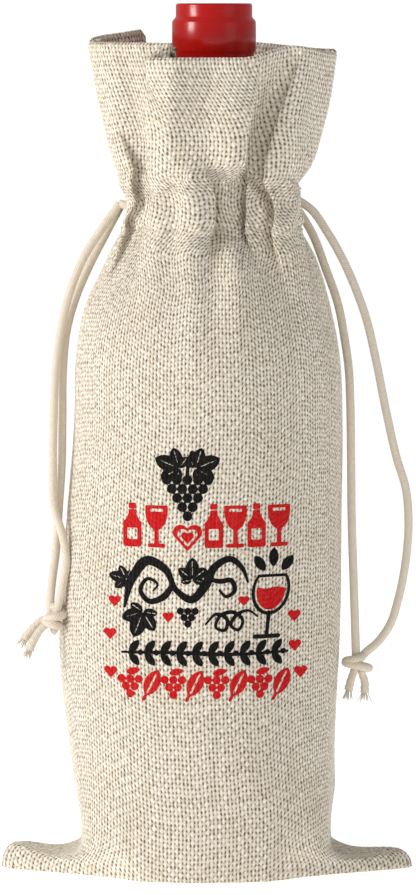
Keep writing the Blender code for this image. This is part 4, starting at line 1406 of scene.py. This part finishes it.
def blackInk(x, z):
    fields = [glassOutline(x, z)]
    fields += [strokeField(x, z, *stem) for stem in motif["stems"]]
    fields += [vineLeafField(x, z, *leaf) for leaf in motif["vineLeaves"]]
    fields += [grapesField(x, z, *bunch) for bunch in motif["bunches"]]
    fields += [leafField(x, z, *leaf) for leaf in motif["glassLeaves"]]
    for cx in -25.2 + 5.5 * np.arange(10):     # the garland
        fields += [leafField(x, z, cx, 80.8 + way * 2.2, 5.6, 2.7, way * 52) for way in (-1, 1)]
        fields.append(discField(x, z, cx + 2.2, 80.9, 1.0))
    return union(fields)


def redInk(x, z):
    inGlass, foot = fromGlass(x, z), motif["rowFoot"]
    wine = ovalField(inGlass, z, 0.0, 102.4, 5.0, 6.8)
    ring = np.minimum(heartField(x, z, -6.7, 121.2, 10.0), -heartField(x, z, -6.7, 121.1, 6.8))
    fields = [np.minimum(wine, 103.2 + 0.3 * np.sin(inGlass * 0.9) - z)]
    fields += [ring, heartField(x, z, -6.7, 121.0, 4.4)]
    fields += [bottleField(x, z, place, foot, 15.2) for place in motif["bottles"]]
    fields += [gobletField(x, z, place, foot, 15.0) for place in motif["goblets"]]
    fields += [heartField(x, z, *heart) for heart in motif["hearts"]]
    for left in -26.6 + 15.0 * np.arange(4):     # bunches and leaves by turns along the foot
        right = left + 7.4
        fields += [
            grapesField(x, z, left, 71.6, 1.42, 3), leafField(x, z, left + 1.0, 74.4, 5.2, 2.4, 14),
            leafField(x, z, right + 0.2, 70.4, 10.2, 5.4, 64, 0.7),
            barField(x, z, (right - 1.8, 66.4), (right - 2.8, 64.6), 1.0, 1.2),
        ]
    return union(fields)


def finer(grid, times):
    # the same surface with more points between the given ones
    for axis in (0, 1):
        count = grid.shape[axis]
        where = np.linspace(0, count - 1, (count - 1) * times + 1)
        low = np.minimum(where.astype(int), count - 2)
        share = (where - low).reshape([-1 if a == axis else 1 for a in range(grid.ndim)])
        grid = np.take(grid, low, axis) * (1 - share) + np.take(grid, low + 1, axis) * share
    return grid


printArea = (0.050, 0.162, -0.038, 0.037)      # low, high, left and right


def addPrint(name, inkAt, finish):
    # a skin of ink on the cloth, cut out along the edge of the pattern
    low, high, left, right = printArea
    up = frontPlaces[:, bagShape["warpThreads"] + 2, 2]
    rows = np.where((up > low) & (up < high))[0]
    across, forward = frontPlaces[rows[len(rows) // 2], :, :2].T
    columns = np.where((across > left) & (across < right) & (forward < -0.01))[0]
    patch = slice(rows[0], rows[-1] + 1), slice(columns[0], columns[-1] + 1)
    places = frontPlaces[patch] + surfaceNormals(frontPlaces[patch], -1) * 0.00011
    places = finer(places, 2)
    threads = finer(frontThreads[patch].astype(float), 2)
    field = inkAt(places[:, :, 0] * 1000, places[:, :, 2] * 1000)
    points, uvs, faces, known = [], [], [], {}

    def corner(a, b):
        key = (a, b)
        if key not in known:
            if a == b:
                spot, uv = places[a], threads[a]
            else:
                t = field[a] / (field[a] - field[b])
                spot = places[a] + (places[b] - places[a]) * t
                uv = threads[a] + (threads[b] - threads[a]) * t
            known[key] = len(points)
            points.append(spot)
            uvs.append(uv)
        return known[key]

    inside = field > 0
    anyIn = inside[:-1, :-1] | inside[1:, :-1] | inside[:-1, 1:] | inside[1:, 1:]
    for j, i in zip(*np.nonzero(anyIn)):
        ring = ((j, i), (j, i + 1), (j + 1, i + 1), (j + 1, i))
        face = []
        for a, b in zip(ring, ring[1:] + ring[:1]):
            if inside[a]:
                face.append(corner(a, a))
            if inside[a] != inside[b]:
                face.append(corner(a, b) if inside[a] else corner(b, a))
        if len(face) > 2:
            faces.append(face)
    piece = meshPiece(name, points, faces, uvs, "threads")
    finishPiece(piece, finish, "burlap", "bag")


addPrint("blackVinePrint", blackInk, inkFinish("blackInk", (10, 9, 9), (84, 78, 72)))
addPrint("redWinePrint", redInk, inkFinish("redInk", (196, 14, 20), (206, 110, 98)))
print("print ready")


# parts kept from the frame

def keptFinish(name, pale, shade, scale):
    # cloth and thread seen from inside the bag
    finish = startFinish(name, {"Roughness": 0.93, "Sheen Weight": 0.1})
    place = objectPlace(finish)
    x, y, z = split(stretched(place, scale, scale, scale * 0.85))
    across = calc("PINGPONG", plus(x, y), 0.5)
    relief = times(calc("MAXIMUM", across, calc("PINGPONG", z, 0.5)), 2.0)
    lint = noiseAt(place, 700.0, 3.0)
    tone = tinted(rgb(*shade), relief, 0.2, 0.8, 1.0, pale, "MIX")
    tone = tinted(tone, lint, 0.3, 0.7, 0.3, shade)
    return painted(finish, tone, plus(relief, times(lint, 0.4)), 0.6, 0.0004)


keptPieces = {
    "allowance": keptFinish("seamAllowanceCloth", (232, 222, 200), (150, 128, 98), 690.0),
    "stitching": keptFinish("seamThread", (236, 228, 210), (196, 180, 152), 2400.0),
}
for kind, finish in keptPieces.items():
    for seam in ("left", "right", "bottom"):
        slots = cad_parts[f"{seam}_seam_{kind}"].data.materials
        slots.clear()
        slots.append(finish)
print("kept parts ready")
